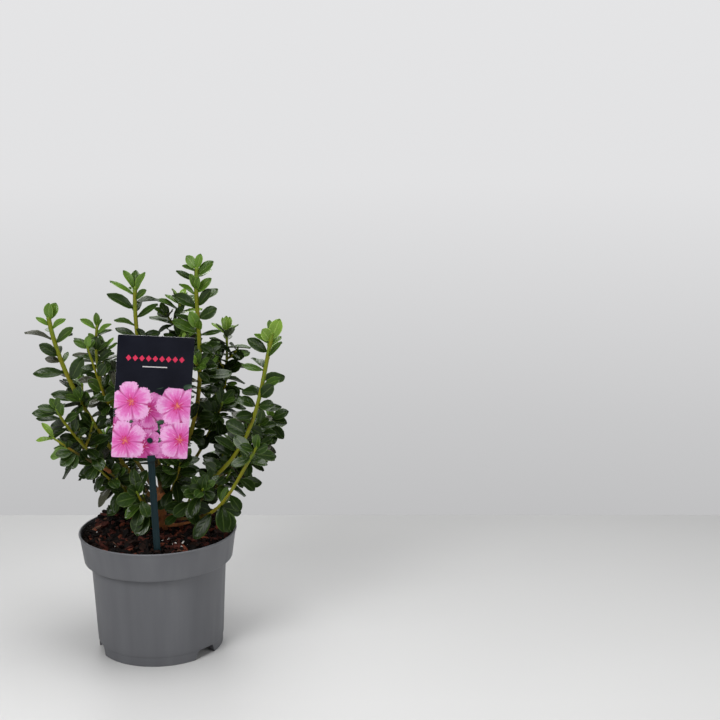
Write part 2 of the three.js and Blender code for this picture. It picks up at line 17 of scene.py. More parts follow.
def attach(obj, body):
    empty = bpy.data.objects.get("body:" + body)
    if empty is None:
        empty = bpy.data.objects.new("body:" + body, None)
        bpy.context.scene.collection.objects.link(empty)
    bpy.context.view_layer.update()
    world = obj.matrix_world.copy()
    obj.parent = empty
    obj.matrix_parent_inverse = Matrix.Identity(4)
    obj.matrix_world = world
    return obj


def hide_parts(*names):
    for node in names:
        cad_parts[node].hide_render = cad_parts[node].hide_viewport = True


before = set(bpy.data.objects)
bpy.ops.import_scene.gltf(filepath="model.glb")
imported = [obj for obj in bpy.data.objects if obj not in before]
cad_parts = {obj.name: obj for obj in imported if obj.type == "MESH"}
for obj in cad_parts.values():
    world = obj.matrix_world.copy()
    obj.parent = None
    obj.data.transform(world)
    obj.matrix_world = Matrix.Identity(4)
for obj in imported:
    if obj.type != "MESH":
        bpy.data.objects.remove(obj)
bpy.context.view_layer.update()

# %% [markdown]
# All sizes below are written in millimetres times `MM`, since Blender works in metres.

MM = 0.001

# %% [markdown]
# Operators act on whatever is selected, and the loaded pieces arrive selected. So each step
# begins with nothing selected, and each finished piece gets its place written into its mesh,
# smooth shading up to a crease angle, and its seat on the plant's one body.

# %% Helpers for pieces
def nothing_selected():
    """Object mode, with nothing selected."""
    if bpy.context.object and bpy.context.object.mode != "OBJECT":
        bpy.ops.object.mode_set(mode="OBJECT")
    bpy.ops.object.select_all(action="DESELECT")


def work_on(piece):
    """Makes one piece the active and only selected one."""
    nothing_selected()
    piece.select_set(True)
    bpy.context.view_layer.objects.active = piece


def edit(piece):
    """Opens one piece for editing, with all of it selected."""
    work_on(piece)
    bpy.ops.object.mode_set(mode="EDIT")
    bpy.ops.mesh.select_all(action="SELECT")


def pick(parts, wanted):
    """Selects only those verts, edges or faces of the edited piece that pass a test."""
    bpy.ops.mesh.select_all(action="DESELECT")
    mesh = bpy.context.object.data
    for part in getattr(bmesh.from_edit_mesh(mesh), parts):
        if wanted(part):
            part.select_set(True)
    bmesh.update_edit_mesh(mesh)


def depth_of(edge):
    """How far an edge runs from front to back."""
    return abs(edge.verts[0].co.y - edge.verts[1].co.y)


def close_edit():
    """Turns every face outwards and leaves edit mode."""
    bpy.ops.mesh.select_all(action="SELECT")
    bpy.ops.mesh.normals_make_consistent(inside=False)
    bpy.ops.object.mode_set(mode="OBJECT")


def block(size, place=(0, 0, 0), turn=(0, 0, 0)):
    """A block of a given size, with its size written into its mesh."""
    nothing_selected()
    bpy.ops.mesh.primitive_cube_add(size=1, location=place, rotation=turn)
    shape = bpy.context.object
    shape.scale = size
    bpy.ops.object.transform_apply(location=True, rotation=True, scale=True)
    return shape


def apply_modifier(piece, kind, **settings):
    """Adds a modifier, sets it up and applies it."""
    work_on(piece)
    modifier = piece.modifiers.new(kind.lower(), kind)
    for key, value in settings.items():
        setattr(modifier, key, value)
    bpy.ops.object.modifier_apply(modifier=modifier.name)


def round_edges(piece, width, segments):
    """Eases the sharp edges of a piece."""
    apply_modifier(piece, "BEVEL", width=width, segments=segments, limit_method="ANGLE")


def cut_away(piece, cutter):
    """Cuts one piece with another, which is then removed."""
    apply_modifier(piece, "BOOLEAN", operation="DIFFERENCE", solver="EXACT", object=cutter)
    bpy.data.objects.remove(cutter)


def settle(piece, name, nodes=(), crease=None):
    """Finishes a piece: place in its mesh, shading, name, body, model nodes."""
    work_on(piece)
    bpy.ops.object.transform_apply(location=True, rotation=True, scale=True)
    if crease is not None:
        bpy.ops.object.shade_smooth_by_angle(angle=math.radians(crease))
    piece.name = piece.data.name = name
    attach(piece, "root")
    if nodes:
        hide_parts(*nodes)
    print(name, len(piece.data.vertices), "vertices", len(piece.data.polygons), "faces")


def mesh_piece(name, places, faces, finishes, tones=None, smooth=True):
    """A mesh from arrays: corners, faces, and for each face which of the finishes it has."""
    mesh = bpy.data.meshes.new(name)
    mesh.from_pydata(np.asarray(places).tolist(), [], [list(face) for face in faces])
    for finish in finishes:
        mesh.materials.append(finish.material)
    if tones is not None:
        mesh.polygons.foreach_set("material_index", np.asarray(tones, dtype=np.int32))
    mesh.polygons.foreach_set("use_smooth", np.full(len(mesh.polygons), smooth))
    mesh.update()
    piece = bpy.data.objects.new(name, mesh)
    bpy.context.scene.collection.objects.link(piece)
    return piece


def joined(parts):
    """One list of corners and one of faces, from several lists of both."""
    faces, used = [], 0
    for corners, sides in parts:
        faces.extend([corner + used for corner in side] for side in sides)
        used += len(corners)
    return np.concatenate([corners for corners, _ in parts]), faces

# %% [markdown]
# A finish is a Principled shader. What is even over the surface is set on the shader's own
# socket. What varies, such as mottling or fine relief, comes from noise in the piece's own
# coordinates, so it stays put on the piece from any side. Two small classes give the nodes
# short names, so a finish can be written down like a sum.

# %% Helpers for finishes
class Drawing:
    """Short names for the nodes of one material, or of the world."""

    def __init__(self, owner):
        owner.use_nodes = True
        self.nodes = owner.node_tree.nodes
        self.links = owner.node_tree.links

    def put(self, socket, value):
        """Gives a socket its value: another socket, a number, or a colour."""
        if isinstance(value, bpy.types.NodeSocket):
            self.links.new(value, socket)
        else:
            socket.default_value = (*value[:3], 1) if socket.type == "RGBA" else value

    def node(self, kind, output=None, inputs=(), **settings):
        """Adds a node and returns one of its outputs, or all of them."""
        node = self.nodes.new("ShaderNode" + kind)
        for key, value in settings.items():
            setattr(node, key, value)
        for name, value in dict(inputs).items():
            self.put(node.inputs[name], value)
        return node.outputs if output is None else node.outputs[output]

    def maths(self, operation, *values):
        return self.node("Math", "Value", enumerate(values), operation=operation)

    def add(self, first, second):
        return self.maths("ADD", first, second)

    def minus(self, first, second):
        return self.maths("SUBTRACT", first, second)

    def times(self, first, second):
        return self.maths("MULTIPLY", first, second)

    def below(self, value, limit):
        return self.maths("LESS_THAN", value, limit)

    def size_of(self, value):
        return self.maths("ABSOLUTE", value)

    def vector(self, operation, *values):
        return self.node("VectorMath", "Vector", enumerate(values), operation=operation)

    def split(self, vector):
        return self.node("SeparateXYZ", None, {0: vector})

    def noise(self, vector, scale, detail=3):
        return self.node("TexNoise", "Fac", {"Vector": vector, "Scale": scale, "Detail": detail})

    def field(self, scale, detail=4, stretch=(1, 1, 1)):
        """A noise pattern in the piece's own coordinates, squeezed or drawn out by `stretch`."""
        place = self.node("TexCoord", "Object")
        drawn_out = self.node("Mapping", "Vector", {"Vector": place, "Scale": stretch})
        return self.noise(drawn_out, scale, detail)

    def spread(self, value, low, high, **settings):
        return self.node("MapRange", "Result", {
            "Value": value, "From Min": low, "From Max": high}, **settings)

    def soft_step(self, value, low, high):
        return self.spread(value, low, high, interpolation_type="SMOOTHSTEP")

    def ramp(self, value, stops):
        """A colour for each value, by stops of (place, colour)."""
        colour = self.node("ValToRGB", "Color", {"Fac": value})
        elements = colour.node.color_ramp.elements
        while len(elements) < len(stops):
            elements.new(0.5)
        for element, (place, tone) in zip(elements, stops):
            element.position = place
            element.color = (*tone, 1)
        return colour

    def mix(self, share, first, second):
        """Two colours mixed. The colour sockets of the node are its seventh and eighth."""
        return self.node("Mix", 2, {0: share, 6: first, 7: second}, data_type="RGBA")


class Finish(Drawing):
    """A Principled material, with its tone, roughness and gloss."""

    def __init__(self, name, tone, roughness, specular=0.5):
        self.material = bpy.data.materials.new(name)
        super().__init__(self.material)
        self.shader = self.nodes["Principled BSDF"].inputs
        self.put(self.shader["Base Color"], tone)
        self.put(self.shader["Roughness"], roughness)
        self.put(self.shader["Specular IOR Level"], specular)
        self.material.diffuse_color = (*tone, 1)

    def colour(self, tone):
        self.put(self.shader["Base Color"], tone)

    def mottle(self, field, stops):
        """Colours the surface by a field: `stops` are (place, colour) pairs."""
        self.colour(self.ramp(field, stops))

    def vary_roughness(self, field, low, high):
        self.put(self.shader["Roughness"], self.node("MapRange", "Result", {
            "Value": field, "From Min": 0.3, "From Max": 0.7, "To Min": low, "To Max": high}))

    def relief(self, field, depth, strength=1.0):
        """Fine relief, `depth` metres from the field's low to its high."""
        self.put(self.shader["Normal"], self.node("Bump", "Normal", {
            "Height": field, "Strength": strength, "Distance": depth}))

# %% [markdown]
# The camera stands a step in front of the plant, to its right and a little above it, and looks
# slightly down through a 64 mm lens. It is level, so upright things stay upright in the picture.

# %% Camera
CAMERA_PLACE = (0.2197, -1.3205, 0.5848)
CAMERA_DIP = 11.436        # degrees below level
CAMERA_LENS = 63.545      # millimetres, over a sensor this wide
CAMERA_SENSOR = 36

nothing_selected()
bpy.ops.object.camera_add(location=CAMERA_PLACE, rotation=(math.radians(90 - CAMERA_DIP), 0, 0))
camera = bpy.context.object
camera.name = "camera"
camera.data.lens = CAMERA_LENS
camera.data.sensor_width = CAMERA_SENSOR
bpy.context.scene.camera = camera
print("camera", camera.name, camera.data.lens)

# %% [markdown]
# The plant stands on a pale table in front of a pale grey wall. The table is one plane that
# ends where the wall would begin, and its tone falls off a little towards the back as painted
# shade. The wall is the world's own colour, darker low down and high up, so that it shows behind
# the plant from every side and nothing stands in a camera's way.

# %% Table and wall
TABLE_BACK = 0.4385        # how far behind the pot the table meets the wall
TABLE_FRONT = -2.6
TABLE_HALF_WIDTH = 2.4
# Painted shade: from here to the back the table's tone is darkened.
TABLE_SHADE_START = -0.15   # from here to the back its tone falls off
TABLE_PAINTED_SHADE_TONES = [(0.0, (0.62, 0.62, 0.6169)), (1.0, (0.475, 0.475, 0.472625))]
WALL = [(0.30, 0.46), (0.38, 0.58), (0.47, 0.76), (0.54, 0.78), (0.62, 0.40), (0.74, 0.15)]
WALL_BLUE = 1.012

nothing_selected()
bpy.ops.mesh.primitive_plane_add(size=1, location=(0, (TABLE_BACK + TABLE_FRONT) / 2, 0))
table = bpy.context.object
table.name = "table"
bpy.ops.transform.resize(value=(2 * TABLE_HALF_WIDTH, TABLE_BACK - TABLE_FRONT, 1))
bpy.ops.object.transform_apply(location=True, rotation=True, scale=True)
pale = Finish("table_white", (0.62, 0.62, 0.615), 0.55, 0.3)
pale.vary_roughness(pale.field(6), 0.5, 0.62)
_, depth, _ = pale.split(pale.node("TexCoord", "Object"))
# painted shade: the ramp darkens the table towards the wall
pale.mottle(pale.spread(depth, TABLE_SHADE_START, TABLE_BACK), TABLE_PAINTED_SHADE_TONES)
table.data.materials.append(pale.material)

world = bpy.data.worlds.new("studio")
bpy.context.scene.world = world
wall = Drawing(world)
_, _, rise = wall.split(wall.node("TexCoord", "Generated"))
wall_tone = wall.ramp(wall.spread(rise, -1, 1), [
    (place, (grey, grey, grey * WALL_BLUE)) for place, grey in WALL])
wall.put(wall.nodes["Background"].inputs["Color"], wall_tone)
print("table", TABLE_BACK - TABLE_FRONT, "m deep")

# %% [markdown]
# The light is that of a product table: a large soft lamp high at the front left, a wide one
# overhead, and two weak ones that keep the right side and the back readable. Large lamps give
# the leaves broad grey highlights in place of small hard ones.

# %% Lamps
LAMPS = [  # name, place, diameter, power
    ("key", (-0.9, -1.5, 1.7), 1.1, 30.0),
    ("overhead", (0.25, 0.1, 2.0), 1.5, 27.0),
    ("fill", (1.7, -0.9, 0.9), 1.2, 8.0),
    ("back", (-0.5, 1.9, 1.4), 1.2, 10.0),
]
AIM = Vector((0.02, 0, 0.2))
for name, place, size, power in LAMPS:
    nothing_selected()
    bpy.ops.object.light_add(type="AREA", location=place)
    lamp = bpy.context.object
    lamp.name = "lamp_" + name
    lamp.data.shape = "DISK"
    lamp.data.size = size
    lamp.data.energy = power
    lamp.rotation_euler = (AIM - Vector(place)).to_track_quat("-Z", "Y").to_euler()
bpy.context.scene.view_settings.view_transform = "Standard"
print(len(LAMPS), "lamps")

# %% [markdown]
# ## Pot
# A nursery pot is injection moulded: a slightly conical body, a wide collar for stiffness, a
# thin rolled lip and three drainage notches at the foot. It could be spun from a profile. Here
# it is drawn up as a potter would, ring by ring: a circle is extruded and resized along the
# profile, which makes it easy to round each corner with a few close rings.

# %% Turning helpers
def turn_up(profile, sides):
    """A closed turned shape, drawn up from its first ring to its last."""
    nothing_selected()
    radius, height = profile[0]
    bpy.ops.mesh.primitive_circle_add(
        vertices=sides, radius=radius, fill_type="NGON", location=(0, 0, height))
    shape = bpy.context.object
    edit(shape)
    for new_radius, new_height in profile[1:]:
        bpy.ops.mesh.extrude_region_move(
            TRANSFORM_OT_translate={"value": (0, 0, new_height - height)})
        share = new_radius / radius
        bpy.ops.transform.resize(value=(share, share, 1))
        radius, height = new_radius, new_height
    close_edit()
    return shape


def fill_hole(piece, height, radius):
    """Closes the round hole at one height of the mesh with a face."""
    edit(piece)
    pick("edges", lambda edge: all(
        abs(v.co.z - height) < 1e-6 and math.hypot(v.co.x, v.co.y) < radius for v in edge.verts))
    bpy.ops.mesh.edge_face_add()
    close_edit()


def rounded(centre, radius, first, last, steps=4):
    """Points along a round corner of a profile, from one angle to another in degrees."""
    angles = [math.radians(first + (last - first) * i / steps) for i in range(steps + 1)]
    return [(centre[0] + radius * math.cos(a), centre[1] + radius * math.sin(a)) for a in angles]

# %% [markdown]
# The profile runs from the recessed underside over the foot ring, up the outside, over the lip
# and down inside to a floor that the mulch hides. The step line just above the foot and the
# soft corner under the collar are the marks that the mould leaves.

# %% Pot body
POT_SIDES = 120
POT_HEIGHT = 131.2 * MM
COLLAR_FOOT = 99.6 * MM
LIP_RADIUS = 85 * MM
COLLAR_TOP_RADIUS = 84.2 * MM
COLLAR_LOW_RADIUS = 80 * MM
BODY_TOP_RADIUS = 72.8 * MM
FOOT_RADIUS = 67.5 * MM
WALL_THICKNESS = 1.8 * MM
UNDERSIDE = 3.6 * MM       # how high the floor's underside lies above the table
HIDDEN_FLOOR = 12.5 * MM
FIRST_RING = 20 * MM
BEAD = 1.15 * MM
BEAD_CENTRE = (LIP_RADIUS - BEAD, POT_HEIGHT - BEAD)

pot_profile = [
    (FIRST_RING, UNDERSIDE),
    (58 * MM, UNDERSIDE),
    *rounded((FOOT_RADIUS - 2.2 * MM, 1.2 * MM), 1.2 * MM, 230, 270, 2),
    *rounded((FOOT_RADIUS - 0.8 * MM, 0.8 * MM), 0.8 * MM, 270, 360, 3),
    (FOOT_RADIUS + 0.05 * MM, 9.6 * MM),
    (FOOT_RADIUS + 0.25 * MM, 10.3 * MM),
    (FOOT_RADIUS + 0.65 * MM, 10.7 * MM),
    (FOOT_RADIUS + 0.85 * MM, 11.6 * MM),
    (68.8 * MM, 20 * MM),
    (70.7 * MM, 60 * MM),
    (BODY_TOP_RADIUS - 0.15 * MM, 96.5 * MM),
    *rounded((BODY_TOP_RADIUS + 1.6 * MM, COLLAR_FOOT - 1.7 * MM), 1.7 * MM, 180, 90, 4),
    *rounded((COLLAR_LOW_RADIUS - 1.2 * MM, COLLAR_FOOT + 1.2 * MM), 1.2 * MM, 270, 360, 4),
    (COLLAR_TOP_RADIUS - 0.5 * MM, POT_HEIGHT - 4.2 * MM),
    (COLLAR_TOP_RADIUS - 0.1 * MM, POT_HEIGHT - 2.9 * MM),
    *rounded(BEAD_CENTRE, BEAD, -30, 210, 9),
    (COLLAR_TOP_RADIUS - WALL_THICKNESS, POT_HEIGHT - 2.2 * MM),
    (COLLAR_LOW_RADIUS - WALL_THICKNESS, COLLAR_FOOT + 3.6 * MM),
    (BODY_TOP_RADIUS - WALL_THICKNESS, COLLAR_FOOT + 1.8 * MM),
    (FOOT_RADIUS - WALL_THICKNESS, HIDDEN_FLOOR),
    (FIRST_RING, HIDDEN_FLOOR),
]
pot = turn_up(pot_profile, POT_SIDES)
fill_hole(pot, HIDDEN_FLOOR - UNDERSIDE, FIRST_RING + 1 * MM)
print("pot rings", len(pot_profile), "x", POT_SIDES)

# %% [markdown]
# Each notch is cut by a block whose top is drawn in and whose upper edges are bevelled, so the
# opening is an arch with leaning sides. Four round holes drain the floor. The cutters are
# removed once the cuts are applied.

# %% Notches and drain holes
NOTCHES = 3
NOTCH_WIDTH = 29.6 * MM        # at the table
NOTCH_TOP_WIDTH = 21.3 * MM
NOTCH_HEIGHT = 10 * MM
NOTCH_REACH = 25 * MM
NOTCH_OUTSIDE = 20 * MM        # how far its cutter stands out of the wall
NOTCH_CORNER = 1.6 * MM
NOTCH_FIRST_TURN = 53.3        # degrees round from the front, towards the right
DRAINS = 4
DRAIN_RADIUS = 4 * MM
DRAIN_RING = 30 * MM


def notch_cutter(turn):
    """The block that cuts one notch, as high above the table as below it."""
    low_width = 2 * NOTCH_WIDTH - NOTCH_TOP_WIDTH
    depth = NOTCH_REACH + NOTCH_OUTSIDE
    cutter = block((low_width, depth, 2 * NOTCH_HEIGHT))
    edit(cutter)
    pick("faces", lambda face: face.normal.z > 0.5)
    bpy.ops.transform.resize(value=(NOTCH_TOP_WIDTH / low_width, 1, 1))
    pick("edges", lambda edge: all(v.co.z > 0 for v in edge.verts) and depth_of(edge) > NOTCH_REACH)
    bpy.ops.mesh.bevel(offset=NOTCH_CORNER, segments=4)
    bpy.ops.object.mode_set(mode="OBJECT")
    middle = FOOT_RADIUS - NOTCH_REACH + depth / 2
    angle = math.radians(turn)
    cutter.location = (middle * math.sin(angle), -middle * math.cos(angle), 0)
    cutter.rotation_euler = (0, 0, angle)
    return cutter


for i in range(NOTCHES):
    cut_away(pot, notch_cutter(NOTCH_FIRST_TURN + i * 360 / NOTCHES))
for i in range(DRAINS):
    angle = i * math.tau / DRAINS
    nothing_selected()
    bpy.ops.mesh.primitive_cylinder_add(
        vertices=32, radius=DRAIN_RADIUS, depth=40 * MM,
        location=(DRAIN_RING * math.cos(angle), DRAIN_RING * math.sin(angle), 0))
    cut_away(pot, bpy.context.object)
print("pot faces after the cuts", len(pot.data.polygons))

# %% [markdown]
# The plastic is matt mid-grey, made from recycled stock, so it is faintly clouded and has
# upright streaks where the melt flowed up the wall. The streaks are noise drawn out along Z. A
# very fine grain keeps the highlights broad.

# %% Pot finish
UPRIGHT_STREAKS = (1, 1, 0.08)

pot_grey = Finish("pot_plastic", (0.115, 0.118, 0.127), 0.5, 0.40)
pot_grey.mottle(pot_grey.field(38, 5, UPRIGHT_STREAKS), [
    (0.30, (0.098, 0.100, 0.109)), (0.52, (0.113, 0.116, 0.126)), (0.72, (0.130, 0.133, 0.143))])
pot_grey.vary_roughness(pot_grey.field(60, 5, (1, 1, 0.25)), 0.42, 0.6)
pot_grey.relief(pot_grey.field(900, 3), 0.06 * MM, 0.35)
pot.data.materials.append(pot_grey.material)
settle(pot, "nursery_pot", ["pot"], 32)

# %% [markdown]
# ## Mulch
# The pot is topped with bark mulch: dark peat between red-brown splinters and chips, with a few
# white grains of perlite. A bed carries the low edge along the wall, a heap at the back left and
# the lumps between them, and the chips are then scattered over it in layers. The top of the bed
# follows the measured model.

# %% Mulch heights
STEM_FOOT = Vector((5 * MM, -8 * MM, POT_HEIGHT + 1.9 * MM))
MULCH_RISE = 1.6 * MM      # how far above the lip the mulch lies round the stem
MULCH_EDGE_DROP = 7 * MM   # how far below the lip it lies along the wall
MULCH_LUMP = 1.3 * MM
MULCH_FLAT_RADIUS = 29 * MM
MULCH_EDGE = (0.68, 0.98)  # where it slopes down to the wall, as shares of the collar's radius
HEAP_PLACE = (-50 * MM, 49 * MM)
HEAP_RISE = 12 * MM
HEAP_SPREAD = 23 * MM
BED_SIDES = 96
BED_RINGS = 26
BED_UNDER_CHIPS = 1.2 * MM
CRUMB = 0.9 * MM


def smoothstep(value, low, high):
    share = np.clip((value - low) / (high - low), 0, 1)
    return share * share * (3 - 2 * share)


def mulch_top(x, y):
    """Height of the mulch: flat round the stem, lumpy further out, low along the wall, heaped once."""
    from_stem = np.hypot(x - STEM_FOOT.x, y - STEM_FOOT.y)
    edge = smoothstep(np.hypot(x, y) / COLLAR_TOP_RADIUS, *MULCH_EDGE)
    rough = smoothstep(from_stem, MULCH_FLAT_RADIUS, 1.6 * MULCH_FLAT_RADIUS)
    lumps = (np.sin(x / MM * 0.31 + 1.1) * np.cos(y / MM * 0.27 - 0.4)
             + 0.6 * np.sin(x / MM * 0.11 - y / MM * 0.17))
    heap = HEAP_RISE * np.exp(
        -((x - HEAP_PLACE[0]) ** 2 + (y - HEAP_PLACE[1]) ** 2) / HEAP_SPREAD ** 2)
    return (POT_HEIGHT + MULCH_RISE - edge * (MULCH_EDGE_DROP + MULCH_RISE)
            + rough * MULCH_LUMP * lumps + heap)


bed_wall = COLLAR_TOP_RADIUS - WALL_THICKNESS - 1.0 * MM
bed_rings = [(bed_wall * (1 - i / BED_RINGS), POT_HEIGHT) for i in range(BED_RINGS)]
bed = turn_up([
    (FIRST_RING, HIDDEN_FLOOR + 0.3 * MM),
    (FOOT_RADIUS - 2.2 * MM, HIDDEN_FLOOR + 0.3 * MM),
    (BODY_TOP_RADIUS - 2.2 * MM, COLLAR_FOOT + 1 * MM),
    (COLLAR_LOW_RADIUS - 2.6 * MM, COLLAR_FOOT + 4.6 * MM),
    *bed_rings,
], BED_SIDES)
work_on(bed)
bpy.ops.object.transform_apply(location=True)
fill_hole(bed, POT_HEIGHT, bed_rings[-1][0] * 1.01)
for corner in bed.data.vertices:
    if abs(corner.co.z - POT_HEIGHT) < 1e-6:
        crumb = noise.fractal(corner.co * 260, 1.0, 2.0, 3) * CRUMB
        corner.co.z = mulch_top(corner.co.x, corner.co.y) - BED_UNDER_CHIPS + crumb
peat = Finish("peat", (0.012, 0.006, 0.004), 0.95, 0.2)
peat.mottle(peat.field(420, 5), [
    (0.35, (0.006, 0.003, 0.002)), (0.55, (0.020, 0.009, 0.006)), (0.75, (0.055, 0.022, 0.012))])
peat.relief(peat.field(700, 5), 0.8 * MM)
bed.data.materials.append(peat.material)
settle(bed, "peat_bed", ["mulch"], 50)

# %% [markdown]
# Splinters of bark are modelled three times, long, broad and stubby, each from a cube that is
# cut, tapered and roughened in edit mode. Then they are copied by the hundred. Each copy is
# turned, tilted and sized by a seeded draw, so the bed looks the same on every run.

# %% Three splinters
def splinter(seed, sharp):
    """A ragged splinter about one unit long: a cut block, drawn in at both ends."""
    nothing_selected()
    bpy.ops.mesh.primitive_cube_add(size=1)
    chip = bpy.context.object
    edit(chip)
    for cut in (-0.17, 0.2):
        bpy.ops.mesh.select_all(action="SELECT")
        bpy.ops.mesh.bisect(plane_co=(cut, 0, 0), plane_no=(1, 0, 0))
    for end, narrow in ((-1, 0.5 + sharp / 2), (1, sharp)):
        pick("verts", lambda corner: corner.co.x * end > 0.4)
        bpy.ops.transform.resize(value=(1, narrow, 0.6))
    bpy.ops.mesh.select_all(action="SELECT")
    bpy.ops.transform.vertex_random(offset=0.13, uniform=0.0, normal=0.0, seed=seed)
    bpy.ops.object.mode_set(mode="OBJECT")
    corners = np.array([v.co for v in chip.data.vertices])
    faces = [list(p.vertices) for p in chip.data.polygons]
    bpy.data.objects.remove(chip)
    return corners, faces


splinters = [splinter(11, 0.35), splinter(12, 0.75), splinter(13, 0.6)]
print("splinter faces", [len(faces) for _, faces in splinters])

# %% [markdown]
# The chips lie mostly flat and stay clear of the wall, the stem and the stake. Long thin fibres
# lie between them. At the back left the mulch is heaped up against the rim, with a few fibres
# that stand up from it. Grains of perlite are strewn thinly, with a few more at the front right.

# %% Scatter the bark
STAKE_FOOT = Vector((17.5 * MM, -77 * MM, 0))
STEM_CLEAR = 8 * MM
STAKE_CLEAR = 4.5 * MM
WHOLE_BED = ((0, 0), 80 * MM)          # centre and radius
HEAP_TOP = ((-56 * MM, 42 * MM), 17 * MM)
FRONT_RIGHT = ((33 * MM, -57 * MM), 10 * MM)
BARK_TONES = [
    ("black", (0.004, 0.0025, 0.002)), ("brown", (0.014, 0.006, 0.004)),
    ("red", (0.050, 0.013, 0.009)), ("orange", (0.110, 0.028, 0.014)),
    ("tan", (0.12, 0.06, 0.038))]
chip_draw = np.random.default_rng(29)


def drawn(limits):
    """A draw between two limits in millimetres, as metres."""
    return chip_draw.uniform(*limits) * MM


def scatter(count, lengths, breadths, thicknesses, lifts, shapes, tilt, area=WHOLE_BED):
    """Copies of the shapes over an area, and for each copy its face count and a draw."""
    (centre_x, centre_y), reach = area
    copies, draws = [], []
    while len(draws) < count:
        radius = math.sqrt(chip_draw.random()) * reach
        angle = chip_draw.random() * math.tau
        spot = Vector((centre_x + radius * math.cos(angle), centre_y + radius * math.sin(angle), 0))
        length, breadth = drawn(lengths), drawn(breadths)
        room = bed_wall - spot.length
        from_stem = math.hypot(spot.x - STEM_FOOT.x, spot.y - STEM_FOOT.y)
        if room < length * 0.5 or from_stem < STEM_CLEAR + length * 0.4:
            continue
        if (spot - STAKE_FOOT).length < STAKE_CLEAR + length * 0.4:
            continue
        rest = mulch_top(spot.x, spot.y) + drawn(lifts)
        turn = Euler((
            (chip_draw.random() - 0.5) * tilt, (chip_draw.random() - 0.5) * tilt,
            chip_draw.random() * math.tau)).to_matrix()
        outline, sides = shapes[int(chip_draw.integers(len(shapes)))]
        sized = outline * np.array([length, breadth, drawn(thicknesses)])
        copies.append((sized @ np.array(turn).T + np.array([spot.x, spot.y, rest]), sides))
        draws.append((len(sides), chip_draw.random()))
    return copies, draws


def tones_of(draws, shares):
    """The finish for every face: each copy draws one by the given shares."""
    limits = np.cumsum(shares)
    return [int(np.searchsorted(limits, draw)) for count, draw in draws for _ in range(count)]


bark_finishes = []
for name, tone in BARK_TONES:
    chip = Finish("chip_" + name, tone, 0.8, 0.14)
    dark = tuple(x * 0.5 for x in tone)
    light = tuple(x * 1.5 for x in tone)
    chip.mottle(chip.field(300, 4), [(0.32, dark), (0.5, tone), (0.7, light)])
    chip.relief(chip.field(900, 3), 0.5 * MM)
    bark_finishes.append(chip)

BARK = [  # name, count, length, breadth, thickness and lift in mm, shapes, tilt, area, shares
    ("bark_chips", 1250, (4, 17), (2.0, 7.0), (1.0, 4.2), (-1.5, 2.8), splinters, 1.4,
     WHOLE_BED, [0.42, 0.28, 0.21, 0.070, 0.020]),
    ("bark_fibres", 420, (5, 15), (0.5, 1.1), (0.4, 0.9), (0.5, 3.2), splinters[:1], 1.5,
     WHOLE_BED, [0.44, 0.30, 0.16, 0.06, 0.04]),
    ("heap_fibres", 26, (8, 15), (0.8, 1.8), (0.6, 1.2), (1.5, 4.0), splinters[:1], 2.6,
     HEAP_TOP, [0.40, 0.32, 0.22, 0.04, 0.02]),
]
for name, *how, shares in BARK:
    copies, draws = scatter(*how)
    piece = mesh_piece(name, *joined(copies), bark_finishes, tones_of(draws, shares), smooth=False)
    settle(piece, name)

perlite_white = Finish("perlite", (0.62, 0.60, 0.56), 0.9, 0.2)
perlite_white.relief(perlite_white.field(900, 3), 0.4 * MM)
grains = []
for how in (
        (5, (2.2, 3.6), (1.6, 2.6), (1.2, 2.2), (2.6, 3.4), splinters[2:], 2.0, FRONT_RIGHT),
        (11, (1.4, 2.8), (1.2, 2.2), (1.0, 1.8), (1.2, 2.6), splinters[2:], 2.0)):
    grains += scatter(*how)[0]
perlite = mesh_piece("perlite_grains", *joined(grains), [perlite_white], smooth=False)
settle(perlite, "perlite_grains")

# %% [markdown]
# ## Picture label
# A printed card of stiff plastic hangs by a pin from the top of its stake. Everything on it is
# placed in the card's own frame, with x across, y through to the back and z up the card. One
# matrix then carries the finished pieces to their place, turned a little to the left.

# %% The card's own frame
CARD_WIDTH = 76.4 * MM
CARD_HEIGHT = 125.8 * MM
CARD_THICKNESS = 0.8 * MM
CARD_CENTRE = Vector((11.1, -72.8, 293.8)) * MM
CARD_ROLL = 5.2            # degrees
CARD_YAW = 13.2            # degrees
CARD_GAP = 0.3 * MM        # between the card and the stake behind it
PIN_PLACE = Vector((-0.6, 0, -44.4)) * MM
PIN_RADIUS = 1.7 * MM

card_turn = Euler((0, math.radians(CARD_ROLL), math.radians(CARD_YAW))).to_matrix()
card_frame = Matrix.Translation(CARD_CENTRE) @ card_turn.to_4x4()


def on_card(piece):
    """Carries a piece that was modelled in the card's frame to its place."""
    piece.matrix_world = card_frame @ piece.matrix_world


def pin_bar(radius, start, end):
    """A round bar at the pin's place, through the card from one depth to another."""
    nothing_selected()
    bpy.ops.mesh.primitive_cylinder_add(
        vertices=32, radius=radius, depth=end - start, rotation=(math.pi / 2, 0, 0),
        location=(PIN_PLACE.x, (start + end) / 2, PIN_PLACE.z))
    bpy.ops.object.transform_apply(location=True, rotation=True)
    return bpy.context.object

# %% [markdown]
# The card is a thin block with rounded corners and a hole for the pin. Only the two big faces
# are printed. The cut edges keep the plastic's white core, which shows as a thin pale line round
# the card. So the faces get the print by their normal, and the rest gets the white.

# %% Card body
card = block((CARD_WIDTH, CARD_THICKNESS, CARD_HEIGHT))
edit(card)
pick("edges", lambda edge: depth_of(edge) > CARD_THICKNESS / 2)
bpy.ops.mesh.bevel(offset=1.5 * MM, segments=6)
close_edit()
cut_away(card, pin_bar(PIN_RADIUS + 0.3 * MM, -5 * MM, 5 * MM))
round_edges(card, 0.12 * MM, 2)

